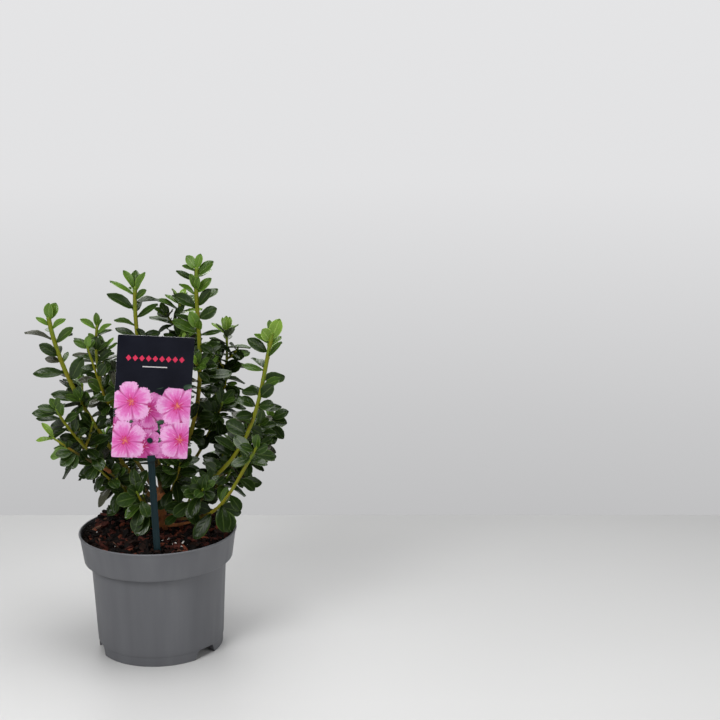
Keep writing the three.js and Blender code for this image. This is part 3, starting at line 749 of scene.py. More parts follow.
card_uv = card.data.uv_layers.active or card.data.uv_layers.new(name="card")
for face in card.data.polygons:
    for loop in face.loop_indices:
        place = card.data.vertices[card.data.loops[loop].vertex_index].co
        across = place.x if face.normal.y < 0 else -place.x
        card_uv.data[loop].uv = (across / CARD_WIDTH + 0.5, place.z / CARD_HEIGHT + 0.5)
print("card faces", len(card.data.polygons))

# %% [markdown]
# The print is a generic one: three layers of large ruffled pink blossoms over a navy ground with
# a few green leaves, and a row of small red lozenges and a short pale line where a card has its
# heading. It is drawn by the material on the card's own UV map. A Voronoi texture strews the
# blossoms: each cell gives the centre of one flower, and the direction from that centre gives
# its petals. Only cells whose centre lies in the garland bloom, so no flower is cut short.

# %% The flowers of the print
CARD_SHAPE = CARD_HEIGHT / CARD_WIDTH
NAVY = (0.008, 0.009, 0.016)
VEIN_PINK = (0.82, 0.48, 0.72)
PINKS = [(0.0, (0.80, 0.30, 0.12)), (0.12, (0.52, 0.02, 0.10)), (0.30, (0.66, 0.09, 0.36)),
         (0.62, (0.74, 0.20, 0.54)), (0.90, (0.80, 0.42, 0.70)), (1.0, (0.70, 0.28, 0.56))]
DEEP_PINKS = [(0.0, (0.50, 0.10, 0.06)), (0.12, (0.32, 0.01, 0.07)), (0.30, (0.40, 0.03, 0.18)),
              (0.62, (0.52, 0.08, 0.32)), (0.90, (0.62, 0.22, 0.48)), (1.0, (0.45, 0.10, 0.30))]
PETALS = 5
GARLAND_SLOPE = -0.30      # the garland rises to the right

print_face = draw = Finish("card_print", NAVY, 0.40, 0.12)
card_map = draw.node("UVMap", "UV", uv_map=card_uv.name)
spot = draw.vector("MULTIPLY", card_map, (1, CARD_SHAPE, 0))
spot_x, spot_y, _ = draw.split(spot)


def up_the_garland(x, y):
    return draw.add(y, draw.times(x, GARLAND_SLOPE))


def blossoms(ground, offset, scale, reach, limit, tones):
    """Lays one layer of flowers over a ground colour."""
    shifted = draw.vector("ADD", spot, offset)
    cells = draw.node("TexVoronoi", None, {
        "Scale": scale, "Randomness": 0.42, "Vector": shifted}, voronoi_dimensions="2D")
    centre = cells["Position"]
    chance = draw.split(cells["Color"])
    x, y, _ = draw.split(draw.vector("SUBTRACT", shifted, centre))
    angle = draw.add(draw.maths("ARCTAN2", y, x), draw.times(chance[0], math.tau))
    ruffle = draw.times(draw.minus(draw.noise(shifted, 34, 2), 0.5), 0.34)
    petal = draw.size_of(draw.maths("COSINE", draw.times(angle, PETALS / 2)))
    edge = draw.add(draw.times(draw.maths("POWER", petal, 0.45), 0.36), 0.64)
    from_centre = draw.maths("SQRT", draw.add(draw.times(x, x), draw.times(y, y)))
    share = draw.add(draw.maths(
        "DIVIDE", draw.times(from_centre, scale), draw.times(edge, reach)), ruffle)
    lines = draw.noise(draw.node("CombineXYZ", "Vector", {
        "X": draw.times(angle, 2.2), "Y": draw.times(share, 0.7)}), 3.2, 3)
    blade = draw.ramp(draw.add(share, draw.times(draw.minus(lines, 0.5), 0.7)), tones)
    seam = draw.soft_step(petal, 0.0, 0.34)
    shaded = draw.mix(seam, tuple(x * 0.8 for x in tones[2][1]), blade)
    bright = draw.mix(draw.soft_step(lines, 0.60, 0.72), shaded, VEIN_PINK)
    centre_x, centre_y, _ = draw.split(draw.vector("SUBTRACT", centre, offset))
    inside = draw.times(draw.below(share, 1.0),
                        draw.below(up_the_garland(centre_x, centre_y), limit))
    return draw.mix(inside, ground, bright)

# %% The printed face
LEAF_GREENS = [(0.0, (0.09, 0.14, 0.10)), (0.25, (0.03, 0.06, 0.035))]
LEAF_LIMIT = 0.78          # leaves and flowers lie below these heights up the garland
BLOSSOM_LAYERS = [  # offset, flowers to the card's width, size in a cell, limit, tones
    ((3.31, 1.27, 0), 2.5, 0.56, 0.72, DEEP_PINKS),
    ((5.18, 9.43, 0), 2.2, 0.56, 0.70, DEEP_PINKS),
    ((7.75, 4.62, 0), 1.9, 0.54, 0.72, PINKS)]
LOZENGES = 9
LOZENGE_RED = (0.62, 0.035, 0.09)
LINE_GREY = (0.55, 0.53, 0.54)

clouds = draw.noise(spot, 3.5, 4)
face_tone = draw.ramp(clouds, [(0.3, (0.0035, 0.004, 0.009)), (0.7, (0.007, 0.008, 0.015))])
slanting = draw.node("Mapping", "Vector", {
    "Rotation": (0, 0, 0.7), "Scale": (1.0, 2.3, 1), "Vector": spot})
from_leaf = draw.node("TexVoronoi", "Distance", {
    "Scale": 4.6, "Vector": slanting}, voronoi_dimensions="2D")
on_leaf = draw.times(draw.below(up_the_garland(spot_x, spot_y), LEAF_LIMIT),
                     draw.below(from_leaf, 0.44))
face_tone = draw.mix(on_leaf, face_tone, draw.ramp(from_leaf, LEAF_GREENS))
for layer in BLOSSOM_LAYERS:
    face_tone = blossoms(face_tone, *layer)

row = draw.maths("DIVIDE", draw.minus(spot_y, 1.345), 0.042)
cell = draw.times(draw.minus(spot_x, 0.11), LOZENGES / 0.78)
in_cell = draw.times(draw.minus(draw.maths("FRACT", cell), 0.5), 2.4)
lozenge = draw.below(draw.add(draw.size_of(row), draw.size_of(in_cell)), 1.0)
in_row = draw.times(draw.maths("GREATER_THAN", cell, 0.0), draw.below(cell, float(LOZENGES)))
face_tone = draw.mix(draw.times(lozenge, in_row), face_tone, LOZENGE_RED)
thin = draw.below(draw.size_of(draw.minus(spot_y, 1.235)), 0.007)
short = draw.below(draw.size_of(draw.minus(spot_x, 0.5)), 0.16)
print_face.colour(draw.mix(draw.times(thin, short), face_tone, LINE_GREY))
print_face.vary_roughness(print_face.field(45, 3), 0.30, 0.42)
print_face.relief(print_face.field(500, 2), 0.02 * MM, 0.3)

card_core = Finish("card_core", (0.46, 0.46, 0.47), 0.5)
card_core.vary_roughness(card_core.field(200, 3), 0.42, 0.58)
for finish in (card_core, print_face):
    card.data.materials.append(finish.material)
for face in card.data.polygons:
    face.material_index = int(abs(face.normal.y) > 0.9)
on_card(card)
settle(card, "picture_card", ["label_card"], 30)

# %% [markdown]
# The stake is a moulded strip with a raised rib down each long edge, which stiffens it. Its top
# carries the pin, whose flat head holds the card in front. A small lip at the top hooks under
# the card's lower edge. The blade is a block that is inset and pushed in on its front and its
# back, and its point is buried in the mulch.

# %% Stake
STAKE_WIDTH = 7 * MM
STAKE_DEPTH = 2.6 * MM
STAKE_TOP = Vector((-1.9, 0, -34)) * MM
STAKE_LOW = Vector((17.3, 0, -188)) * MM
STAKE_CORNER = 2.6 * MM
RIB_WIDTH = 1.3 * MM
RIB_STEP = 0.35 * MM       # how wide the slope is from the rib to the hollow
HOLLOW_DEPTH = 0.7 * MM
PIN_HEAD_RADIUS = 2.9 * MM
PIN_HEAD_DEPTH = 1 * MM
LIP_PLACE = 1.8 * MM
LIP_LOW = -66.2 * MM
LIP_HIGH = -60.0 * MM
HOOK_HIGH = -63.9 * MM
TEAL_STRETCH = (1, 1, 0.2)

stake_back = CARD_THICKNESS / 2 + CARD_GAP
stake_line = STAKE_TOP - STAKE_LOW
stake_turn = math.atan2(stake_line.x, stake_line.z)

stake = block((STAKE_WIDTH, STAKE_DEPTH, stake_line.length))
edit(stake)
pick("edges", lambda edge: all(v.co.z > 0 for v in edge.verts) and depth_of(edge) > 1 * MM)
bpy.ops.mesh.bevel(offset=STAKE_CORNER, segments=6)
for side in (-1, 1):
    pick("faces", lambda face: face.normal.y * side > 0.9)
    bpy.ops.mesh.inset(thickness=RIB_WIDTH)
    bpy.ops.mesh.inset(thickness=RIB_STEP, depth=-HOLLOW_DEPTH)
bpy.ops.object.mode_set(mode="OBJECT")
stake.rotation_euler = (0, stake_turn, 0)
stake.location = (STAKE_TOP + STAKE_LOW) / 2 + Vector((0, stake_back + STAKE_DEPTH / 2, 0))
bpy.ops.object.transform_apply(location=True, rotation=True)
round_edges(stake, 0.3 * MM, 2)

front = -CARD_THICKNESS / 2 - CARD_GAP
lip_front = front - 1.4 * MM
pin = pin_bar(PIN_RADIUS, front - 0.5 * MM, stake_back + 1.2 * MM)
head = pin_bar(PIN_HEAD_RADIUS, front - PIN_HEAD_DEPTH, front)
round_edges(head, 0.35 * MM, 3)


def lip_part(start, end, low, high):
    """One block of the lip, in line with the stake and with eased edges."""
    middle = (LIP_PLACE, (start + end) / 2, (low + high) / 2)
    part = block((STAKE_WIDTH + 0.8 * MM, end - start, high - low), middle, (0, stake_turn, 0))
    round_edges(part, 0.4 * MM, 3)
    return part


lip = lip_part(lip_front, front, LIP_LOW, LIP_HIGH)
hook = lip_part(lip_front + 0.2 * MM, stake_back + 0.8 * MM, LIP_LOW, HOOK_HIGH)
nothing_selected()
for piece in (stake, pin, head, lip, hook):
    piece.select_set(True)
bpy.context.view_layer.objects.active = stake
bpy.ops.object.join()
teal = Finish("stake_teal", (0.003, 0.014, 0.018), 0.42, 0.2)
teal.mottle(teal.field(40, 4, TEAL_STRETCH), [
    (0.3, (0.002, 0.011, 0.014)), (0.55, (0.003, 0.015, 0.019)), (0.8, (0.005, 0.022, 0.027))])
teal.vary_roughness(teal.field(90, 4, TEAL_STRETCH), 0.34, 0.52)
teal.relief(teal.field(800, 3), 0.05 * MM, 0.4)
stake.data.materials.clear()
stake.data.materials.append(teal.material)
on_card(stake)
settle(stake, "label_stake_moulded", ["label_stake"], 30)

# %% [markdown]
# ## How the shrub grows
# A young azalea rises from one short stem that forks just above the mulch. Each limb leans out,
# turns up, and ends in a leafy shoot. The measured model holds a simple form of this: one curve
# for each limb and one mass of foliage. The same rule is written again here, in millimetres, and
# is carried on to finer twigs, so the leaves stay within the reach of the masses they replace.

# %% Limbs
LIMBS = [
    # name, parent, share up the parent, knee, tip, share where the leaves begin, radius,
    # side twigs, their length, seed
    ("left", "stem", .55, (-95, 1, 268), (-109, 4, 361), .42, 2.6, 2, 26, 9511),
    ("inner_left", "stem", .9, (-71, 3, 269), (-59, 6, 352), .46, 2.2, 2, 26, 14023),
    ("inner_low", "inner_left", .3, (-43, -12, 251), (-64, -20, 334), .3, 1.8, 1, 24, 2029),
    ("upper_left", "stem", .98, (-23, 9, 351), (-18, 12, 392), .5, 2.4, 2, 30, 10037),
    ("top", "stem", .95, (72, 3, 321), (49, 0, 414), .36, 2.7, 2, 34, 8541),
    ("right", "stem", .62, (132, -29, 227), (129, -32, 351), .4, 2.7, 2, 34, 1553),
    ("low_right", "stem", .34, (84, -67, 150), (116, -84, 245), .5, 2.2, 2, 28, 2061),
    ("low_left", "stem", .3, (-80, -44, 241), (-89, -62, 278), .46, 2.1, 2, 26, 4571),
    ("spreading_left", "low_left", .34, (-66, -57, 226), (-91, -72, 251), .6, 1.6, 0, 20, 10083),
    ("low_side_left", "stem", .2, (-31, -27, 178), (-55, -36, 209), .36, 1.9, 2, 26, 14597),
    ("front_left", "stem", .22, (-8, -34, 162), (-12, -52, 187), .3, 1.8, 2, 22, 9101),
    ("front_right", "stem", .2, (36, -36, 159), (57, -56, 192), .3, 1.9, 2, 26, 2613),
    ("low_centre", "stem", .6, (20, -22, 175), (32, -38, 216), .3, 1.9, 2, 26, 11127),
    ("centre", "stem", .8, (5, -18, 231), (7, -22, 309), .34, 2.1, 2, 28, 4131),
    ("back_top", "stem", .84, (17, 54, 284), (23, 50, 372), .42, 2.3, 2, 32, 4149),
    ("back_left", "stem", .7, (-71, 60, 256), (-66, 70, 313), .36, 2.2, 2, 32, 13651),
    ("back_right", "stem", .68, (79, 52, 236), (72, 62, 337), .36, 2.2, 2, 32, 11663),
    ("back", "stem", .45, (-2, 88, 191), (-8, 94, 270), .34, 2.1, 2, 32, 2673),
    ("side_right", "right", .2, (99, 23, 200), (122, 24, 249), .3, 1.8, 2, 28, 6181),
    ("side_left", "left", .16, (-71, 23, 194), (-99, 30, 213), .34, 1.8, 2, 28, 7191),
    ("low_back_left", "stem", .25, (-58, 58, 143), (-70, 84, 207), .34, 2.0, 2, 30, 7697),
    ("low_back_right", "stem", .28, (67, 58, 144), (76, 84, 205), .34, 2.0, 2, 30, 4211),
]
WOOD_RADII = {"left": (2.2, 2.5), "inner_left": (2.1, 1.5), "upper_left": (2.1, 2.2),
              "top": (2.2, 2.3), "right": (1.8, 2.2), "low_left": (1.8, 1.4),
              "low_right": (1.8, 1.6), "spreading_left": (1.3, 1.0)}  # at the foot and at the tip
SWAY = {"top": 22.0, "right": 20.0, "low_right": 16.0}  # to the right low down, then to the left
# The last column, brightness, shifts the tones of a limb's leaves: darker on low and inner limbs as
# painted shade, lighter on high limbs partly as painted light.
HABITS = {  # how crowded its twigs are, share above which it has none, droop, brightness
    "left": (0.8, 0.55, 0.0, 0.02), "inner_left": (0.8, 0.66, 0.0, 0.04),
    "inner_low": (1.0, 0.62, 0.0, 0.02), "upper_left": (1.0, 0.5, 0.0, 0.06),
    "top": (1.0, 0.52, 0.0, 0.08), "right": (1.0, 0.48, 0.0, 0.08),
    "low_right": (1.3, 0.56, 0.4, -0.2), "low_left": (0.5, 0.72, 0.35, -0.4),
    "spreading_left": (0.0, 0.6, 0.0, 0.2), "low_side_left": (0.9, 0.75, 0.7, -0.4),
    "front_left": (0.8, 0.7, 0.9, -0.3), "front_right": (1.0, 1.0, 0.8, -0.5),
    "low_centre": (2.0, 1.0, 0.5, -0.3), "centre": (2.2, 1.0, 0.0, -0.25),
    "back_top": (1.5, 1.0, 0.0, 0.0), "back_left": (1.3, 1.0, 0.0, 0.0),
    "back_right": (1.8, 1.0, 0.0, 0.0), "back": (1.8, 1.0, 0.0, 0.0),
    "side_right": (1.0, 0.75, 0.3, -0.15), "side_left": (0.6, 1.0, 0.5, -0.45),
    "low_back_left": (1.7, 1.0, 0.4, 0.0), "low_back_right": (1.7, 1.0, 0.4, 0.0),
}
STEM_HEIGHT = 40.0
STEM_LEAN = np.array([1.0, 3.0, 0.0])
STEM_RADIUS = 5.6
STEM_FORK_RADIUS = 4.0
STEM_FLARE_RADIUS = 9.5
TWIG_TIP = 1.4
GOLDEN_TURN = math.radians(137.5)

# %% [markdown]
# A limb is a bent line with three control points: foot, knee and tip. Three limbs swing a
# little as well, their low half to the right and their high half to the left. A small number
# generator with its own seed gives each limb the same side twigs on every run, at the places
# where the model has them.

# %% Curves and draws
def seeded(seed):
    """Draws between 0 and 1 from a small seeded generator."""
    state = seed * 7919 + 104729

    def draw_next():
        nonlocal state
        state = state * 48271 % 2147483647
        return state / 2147483647
    return draw_next


def between(low, high, share):
    return low + (high - low) * share


def unit(vector):
    return vector / max(np.linalg.norm(vector), 1e-9)


def bend_at(bend, t):
    """Places on a bent line for one share or for many. Limbs have their sway as a fourth part."""
    foot, knee, tip = bend[:3]
    sway = bend[3] if len(bend) > 3 else 0
    t = np.atleast_1d(t)[:, None]
    swung = 3 * t * (1 - t) * (1 - 2 * t) * sway
    return (1 - t) ** 2 * foot + 2 * t * (1 - t) * knee + t * t * tip + swung


def heading_at(bend, t):
    foot, knee, tip = bend[:3]
    sway = bend[3] if len(bend) > 3 else 0
    swung = 3 * (1 - 6 * t + 6 * t * t) * sway
    return unit(2 * (1 - t) * (knee - foot) + 2 * t * (tip - knee) + swung)


def length_of(bend):
    return np.linalg.norm(np.diff(bend_at(bend, np.linspace(0, 1, 41)), axis=0), axis=1).sum()


def square_to(along):
    """Two directions square to a heading, worked out the same way all over the plant."""
    helper = np.array([0, 1.0, 0]) if abs(along[1]) < 0.8 else np.array([1.0, 0, 0])
    side = unit(np.cross(helper, along))
    return side, np.cross(along, side)


def outwards(along, turn):
    """The direction square to a heading at one turn round it."""
    side, other = square_to(along)
    return side * math.cos(turn) + other * math.sin(turn)


stem_foot = np.array(STEM_FOOT) / MM
stem_top = stem_foot + STEM_LEAN + np.array([0, 0, STEM_HEIGHT])
bends = {"stem": (stem_foot, (stem_foot + stem_top) / 2, stem_top)}
limbs = []
for name, parent, at, knee, tip, leafy, radius, side_twigs, twig_length, seed in LIMBS:
    bend = (bend_at(bends[parent], at)[0], np.array(knee, float), np.array(tip, float),
            np.array([SWAY.get(name, 0.0), 0, 0]))
    bends[name] = bend
    limbs.append({
        "name": name, "bend": bend, "leafy": leafy, "radius": radius, "length": length_of(bend),
        "wood_radii": WOOD_RADII.get(name, (0.82 * radius, 0.66 * radius)),
        "side_twigs": side_twigs, "twig_length": twig_length, "seed": seed})
print(len(limbs), "limbs,", round(sum(limb["length"] for limb in limbs)), "mm in all")

# %% [markdown]
# A leaf or twig grows only where it has room. It stays nearer to its own limb than to any other,
# clear of the bare wood, the stem, the label and the open space in front of the fork, and inside
# the crown. Distances are taken to short straight stretches of each limb, all at once.

# %% Room to grow
MARKS = 24                 # stretches that stand in for one limb
OWN_SPACE = 0.2            # clearances in millimetres, like all sizes of the shrub
BARE_SPACE = 0.8
STEM_SPACE = 1.5
LABEL_CLEAR = 1.2
CROWN_LOW = np.array([-138.5, -107.0, POT_HEIGHT / MM + 4.0])
CROWN_HIGH = np.array([145.5, 107.0, 431.0])
FORK_LOW = np.array([-1.0, -75.0, 130.0])      # the space in front of the stem, kept open
FORK_HIGH = np.array([41.0, 2.0, 147.0])

green, bare, bare_radii, green_limb = [], [], [], []
for number, limb in enumerate(limbs):
    marks = bend_at(limb["bend"], np.linspace(0, 1, MARKS + 1))
    cut = round(limb["leafy"] * MARKS)
    pairs = list(zip(marks[:-1], marks[1:]))
    green += pairs[cut:]
    bare += pairs[:cut]
    green_limb += [number] * (MARKS - cut)
    bare_radii += [between(limb["radius"], TWIG_TIP, i / MARKS) for i in range(cut)]
green_from, green_to = np.array(green).transpose(1, 0, 2)
bare_from, bare_to = np.array(bare).transpose(1, 0, 2)
green_limb, bare_radii = np.array(green_limb), np.array(bare_radii)


def distances(places, starts, ends):
    """Distance from every place to every straight stretch."""
    along = ends - starts
    gap = places[:, None, :] - starts[None]
    share = np.clip((gap * along).sum(-1) / (along * along).sum(-1), 0, 1)
    return np.linalg.norm(gap - share[..., None] * along, axis=-1)


card_turn_array = np.array(card_turn)
card_centre_mm = np.array(CARD_CENTRE) / MM


def hides_label(places):
    """Whether places touch the label or hang in front of it."""
    x, y, z = ((places - card_centre_mm) @ card_turn_array).T
    behind = y > (stake_back + STAKE_DEPTH) / MM + LABEL_CLEAR
    over_card = (np.abs(x) < CARD_WIDTH / MM / 2 + LABEL_CLEAR) & (
        z < CARD_HEIGHT / MM / 2 + LABEL_CLEAR)
    share = (z - STAKE_TOP.z / MM) / ((STAKE_LOW.z - STAKE_TOP.z) / MM)
    over_stake = np.abs(x - between(STAKE_TOP.x, STAKE_LOW.x, share) / MM) < (
        STAKE_WIDTH / MM / 2 + LABEL_CLEAR)
    beside_card = z > -CARD_HEIGHT / MM / 2 - LABEL_CLEAR
    return ~behind & np.where(beside_card, over_card, over_stake)


def is_free(places, limb_number, own_space=OWN_SPACE):
    """Whether places of a twig or leaf are free for a limb."""
    if (places < CROWN_LOW).any() or (places > CROWN_HIGH).any() or hides_label(places).any():
        return False
    if ((places > FORK_LOW) & (places < FORK_HIGH)).all(axis=1).any():
        return False
    if distances(places, stem_foot[None], stem_top[None]).min() < STEM_RADIUS + STEM_SPACE:
        return False
    if (distances(places, bare_from, bare_to) < bare_radii + BARE_SPACE).any():
        return False
    gaps = distances(places, green_from, green_to)
    own = gaps[:, green_limb == limb_number].min(axis=1)
    others = gaps[:, green_limb != limb_number].min(axis=1)
    return bool((others >= own + own_space).all())


def pierces(starts, ends, triangles):
    """Whether any straight stretch passes through any triangle."""
    if not len(starts) or not len(triangles):
        return False
    way = (ends - starts)[:, None, :]
    corner = triangles[None, :, 0]
    first = triangles[None, :, 1] - corner
    second = triangles[None, :, 2] - corner
    across = np.cross(way, second)
    volume = (first * across).sum(-1)
    flat = np.abs(volume) < 1e-9
    volume = np.where(flat, 1, volume)
    gap = starts[:, None, :] - corner
    u = (gap * across).sum(-1) / volume
    turned = np.cross(gap, first)
    v = (way * turned).sum(-1) / volume
    t = (second * turned).sum(-1) / volume
    return bool((~flat & (u >= 0) & (v >= 0) & (u + v <= 1) & (t >= 0) & (t <= 1)).any())

# %% [markdown]
# Side twigs leave their limb at an angle and bend up. The first ones stand where the model has
# them. Shorter and finer ones then fill in between, each only if its whole length is free. Near
# their ends the limbs that stand out against the wall have no twigs.

# %% Twigs
SIDE_RADII, SIDE_BARE = (1.6, 1.25), 0.22      # radii, and the share that stays leafless
FINE_RADII, FINE_BARE = (1.25, 1.0), 0.34
FINE_SPACING = 30.0        # millimetres of green shoot for each finer twig
FINE_SHARE = 0.62          # length of a finer twig, as a share of a side twig's
FINE_TRIES = 4
SIDE_PLACES = (0.06, 0.68)  # first and last place of a side twig, as shares of the green shoot
FINE_PLACES = (0.04, 0.80)
twigs = []


def side_twig(bend, t, turn, length, rise=0.7):
    """The bent line of a twig that leaves a limb and then rises."""
    root = bend_at(bend, t)[0]
    along = heading_at(bend, t)
    out = outwards(along, turn)
    if out[2] < 0:
        out = -out
    first = unit(along * 0.55 + out)
    knee = root + first * length * 0.5
    second = unit(first + np.array([0, 0, rise]))
    return root, knee, knee + second * length * 0.5


def add_twig(limb_number, bend, radii, kind, bare_share):
    twigs.append({
        "limb": limb_number, "bend": bend, "radii": radii, "kind": kind, "bare": bare_share,
        "last_leaf": 1.0 if kind == "leader" else 0.0,
        "marks": bend_at(bend, np.linspace(0, 1, 6)), "length": length_of(bend)})


for number, limb in enumerate(limbs):
    rand = seeded(limb["seed"])
    bend, leafy = limb["bend"], limb["leafy"]
    crowding, highest = HABITS[limb["name"]][:2]
    foot_radius, tip_radius = limb["wood_radii"]
    add_twig(number, bend, (between(foot_radius, tip_radius, leafy), tip_radius), "leader", leafy)
    for i in range(limb["side_twigs"]):
        share = between(*SIDE_PLACES, (i + 0.5) / limb["side_twigs"]) + (rand() - 0.5) * 0.08
        turn = GOLDEN_TURN * i + rand() * 0.6 + limb["seed"]
        length = limb["twig_length"] * between(0.8, 1.15, rand())
        t = between(leafy, 1, share)
        twig = side_twig(bend, t, turn, length)
        if t < highest and is_free(bend_at(twig, np.linspace(0.2, 1, 5)), number):
            add_twig(number, twig, SIDE_RADII, "side", SIDE_BARE)
    fine_twigs = round(limb["length"] * (1 - leafy) / FINE_SPACING * crowding)
    for i in range(fine_twigs):
        share = between(*FINE_PLACES, (i + rand()) / fine_twigs)
        length = limb["twig_length"] * FINE_SHARE * between(0.75, 1.25, rand())
        turn = GOLDEN_TURN * (i + 0.5) + rand() * 0.8
        t = between(leafy, 1, share)
        for attempt in range(FINE_TRIES):
            twig = side_twig(bend, t, turn + attempt * 1.6, length, 0.9)
            if t < highest and is_free(bend_at(twig, np.linspace(0.3, 1, 4)), number):
                add_twig(number, twig, FINE_RADII, "fine", FINE_BARE)
                break
print(len(twigs), "leafy shoots and twigs")

# %% [markdown]
# ## Leaf
# An azalea leaf is a blunt ellipse on a short stalk, broadest past its middle, with a sunken
# midrib and edges that roll slightly down. One leaf is modelled from a grid: each row is drawn
# in to the outline, the midrib and the edges are lowered, and a second sheet closes it from
# below. It has only some sixty faces, because it is copied more than a thousand times.

# %% Leaf outline
# rows from stalk to tip: share of the length, half width as a share of the width
LEAF_ROWS = [(0.0, 0.04), (0.08, 0.05), (0.20, 0.27), (0.37, 0.44), (0.57, 0.50), (0.75, 0.45),
             (0.89, 0.29), (0.97, 0.12), (1.0, 0.03)]
RIB_DEPTH = 0.055
ROLL_DEPTH = 0.020
LEAF_THICKNESS = 0.014


def half_width(along):
    """Half the leaf's width at one of its rows."""
    return next(half for place, half in LEAF_ROWS if abs(along - place) < 0.002)


def lower(depth, wanted):
    """Lowers the corners of the leaf whose x and y pass a test."""
    pick("verts", lambda corner: wanted(corner.co.x, corner.co.y))
    bpy.ops.transform.translate(value=(0, 0, -depth))


nothing_selected()
bpy.ops.mesh.primitive_grid_add(x_subdivisions=4, y_subdivisions=len(LEAF_ROWS) - 1, size=1)
leaf = bpy.context.object
edit(leaf)
grid_rows = sorted({round(v.co.y, 4) for v in bmesh.from_edit_mesh(leaf.data).verts})
for row, (place, half) in reversed(list(zip(grid_rows, LEAF_ROWS))):
    pick("verts", lambda corner: abs(corner.co.y - row) < 0.001)
    bpy.ops.transform.resize(value=(2 * half, 1, 1))
    bpy.ops.transform.translate(value=(0, place - row, 0))
lower(RIB_DEPTH, lambda x, y: abs(x) < 0.001 and 0.05 < y < 0.99)
lower(ROLL_DEPTH, lambda x, y: 0.15 < y < 0.95 and abs(abs(x) - half_width(y)) < 0.001)
bpy.ops.mesh.select_all(action="SELECT")
bpy.ops.mesh.duplicate()
bpy.ops.mesh.flip_normals()
for corner in bmesh.from_edit_mesh(leaf.data).verts:
    x, y = abs(corner.co.x), corner.co.y
    if corner.select and 0.001 < y < 0.999 and x < half_width(y) - 0.001:
        corner.co.z -= LEAF_THICKNESS
bmesh.update_edit_mesh(leaf.data)
bpy.ops.mesh.select_all(action="SELECT")
bpy.ops.mesh.remove_doubles(threshold=0.0001)
bpy.ops.object.mode_set(mode="OBJECT")
leaf_corners = np.array([v.co for v in leaf.data.vertices])
leaf_faces = [list(p.vertices) for p in leaf.data.polygons]
leaf_under = np.array([p.normal.z < 0 for p in leaf.data.polygons])
bpy.data.objects.remove(leaf)
print("leaf", len(leaf_corners), "corners", len(leaf_faces), "faces", leaf_under.sum(), "below")

# %% [markdown]
# Every copy gets its own length, width, bend and twist, so no two are alike. The bend turns the
# blade down towards its tip, as its weight does. Plain outlines of ten points stand in for the
# leaves while their places are tested against each other.

# %% Shaping a copy
def shaped(outline, leaf_data):
    """Corners of one leaf or of many: width, bend, cup and twist, then its place on the twig."""
    length, width, bend, cup, twist, blunt = (leaf_data[key][..., None] for key in (
        "length", "width", "bend", "cup", "twist", "blunt"))
    share = outline[:, 1]
    x = outline[:, 0] * width * (1 + blunt * (share - 0.5))
    z = outline[:, 2] * length + cup * length * (2 * outline[:, 0]) ** 2 * np.sin(np.pi * share)
    turn = twist * share
    x, z = x * np.cos(turn) - z * np.sin(turn), x * np.sin(turn) + z * np.cos(turn)
    angle = bend * share
    y = length * np.sin(angle) / bend + z * np.sin(angle)
    z = -length * (1 - np.cos(angle)) / bend + z * np.cos(angle)
    return (leaf_data["root"][..., None, :] + x[..., None] * leaf_data["across"][..., None, :]
            + y[..., None] * leaf_data["along"][..., None, :]
            + z[..., None] * leaf_data["face"][..., None, :])


OUTLINE = np.array([[0, 0, 0], [0, .1, 0], [-.5, .56, 0], [.5, .56, 0], [0, 1, 0], [0, .5, 0],
                    [-.33, .28, 0], [.33, .28, 0], [-.38, .82, 0], [.38, .82, 0]])
OUTLINE_MIDDLE = 5
OUTLINE_SIDES = [(1, 2), (2, 4), (4, 3), (3, 1), (1, 5), (5, 4), (2, 5), (5, 3)]
OUTLINE_TRIANGLES = [(1, 2, 5), (1, 5, 3), (2, 4, 5), (5, 4, 3)]
NEAR_TWIG = 32             # millimetres within which a leaf is tested against a twig
NEAR_LEAF = 30
MOST_LEAVES = 6000
leaf_centres = np.zeros((MOST_LEAVES, 3))
leaf_sides = np.zeros((MOST_LEAVES, len(OUTLINE_SIDES), 2, 3))
leaf_triangles = np.zeros((MOST_LEAVES, len(OUTLINE_TRIANGLES), 3, 3))
leaves = []
twig_from = np.concatenate([twig["marks"][:-1] for twig in twigs] + [bare_from])
twig_to = np.concatenate([twig["marks"][1:] for twig in twigs] + [bare_to])
twig_middles = (twig_from + twig_to) / 2


def keep_leaf(leaf_data, limb_number, tone, own_space=OWN_SPACE):
    """Keeps a leaf if it is free, crosses no other leaf and lets no twig through its blade."""
    outline = shaped(OUTLINE, leaf_data)
    if not is_free(outline[2:], limb_number, own_space):
        return False
    centre, sides, triangles = (
        outline[part] for part in (OUTLINE_MIDDLE, OUTLINE_SIDES, OUTLINE_TRIANGLES))
    close = np.linalg.norm(twig_middles - centre, axis=1) < NEAR_TWIG
    if pierces(twig_from[close], twig_to[close], triangles):
        return False
    count = len(leaves)
    near = np.linalg.norm(leaf_centres[:count] - centre, axis=1) < NEAR_LEAF
    other_sides = leaf_sides[:count][near].reshape(-1, 2, 3)
    other_triangles = leaf_triangles[:count][near].reshape(-1, 3, 3)
    if (pierces(sides[:, 0], sides[:, 1], other_triangles)
            or pierces(other_sides[:, 0], other_sides[:, 1], triangles)):
        return False
    leaf_centres[count], leaf_sides[count], leaf_triangles[count] = centre, sides, triangles
    leaves.append({**leaf_data, "limb": limb_number, "tone": tone})
    return True


def uneven_blade(blunt):
    """Draws how far a blade is cupped, twisted and drawn out: a blunt one is widest near its end."""
    return {"cup": np.float64(leaf_draw.uniform(-0.02, 0.10)),
            "twist": np.float64(leaf_draw.normal(0, 0.16)),
            "blunt": np.float64(blunt + leaf_draw.uniform(-0.22, 0.22))}


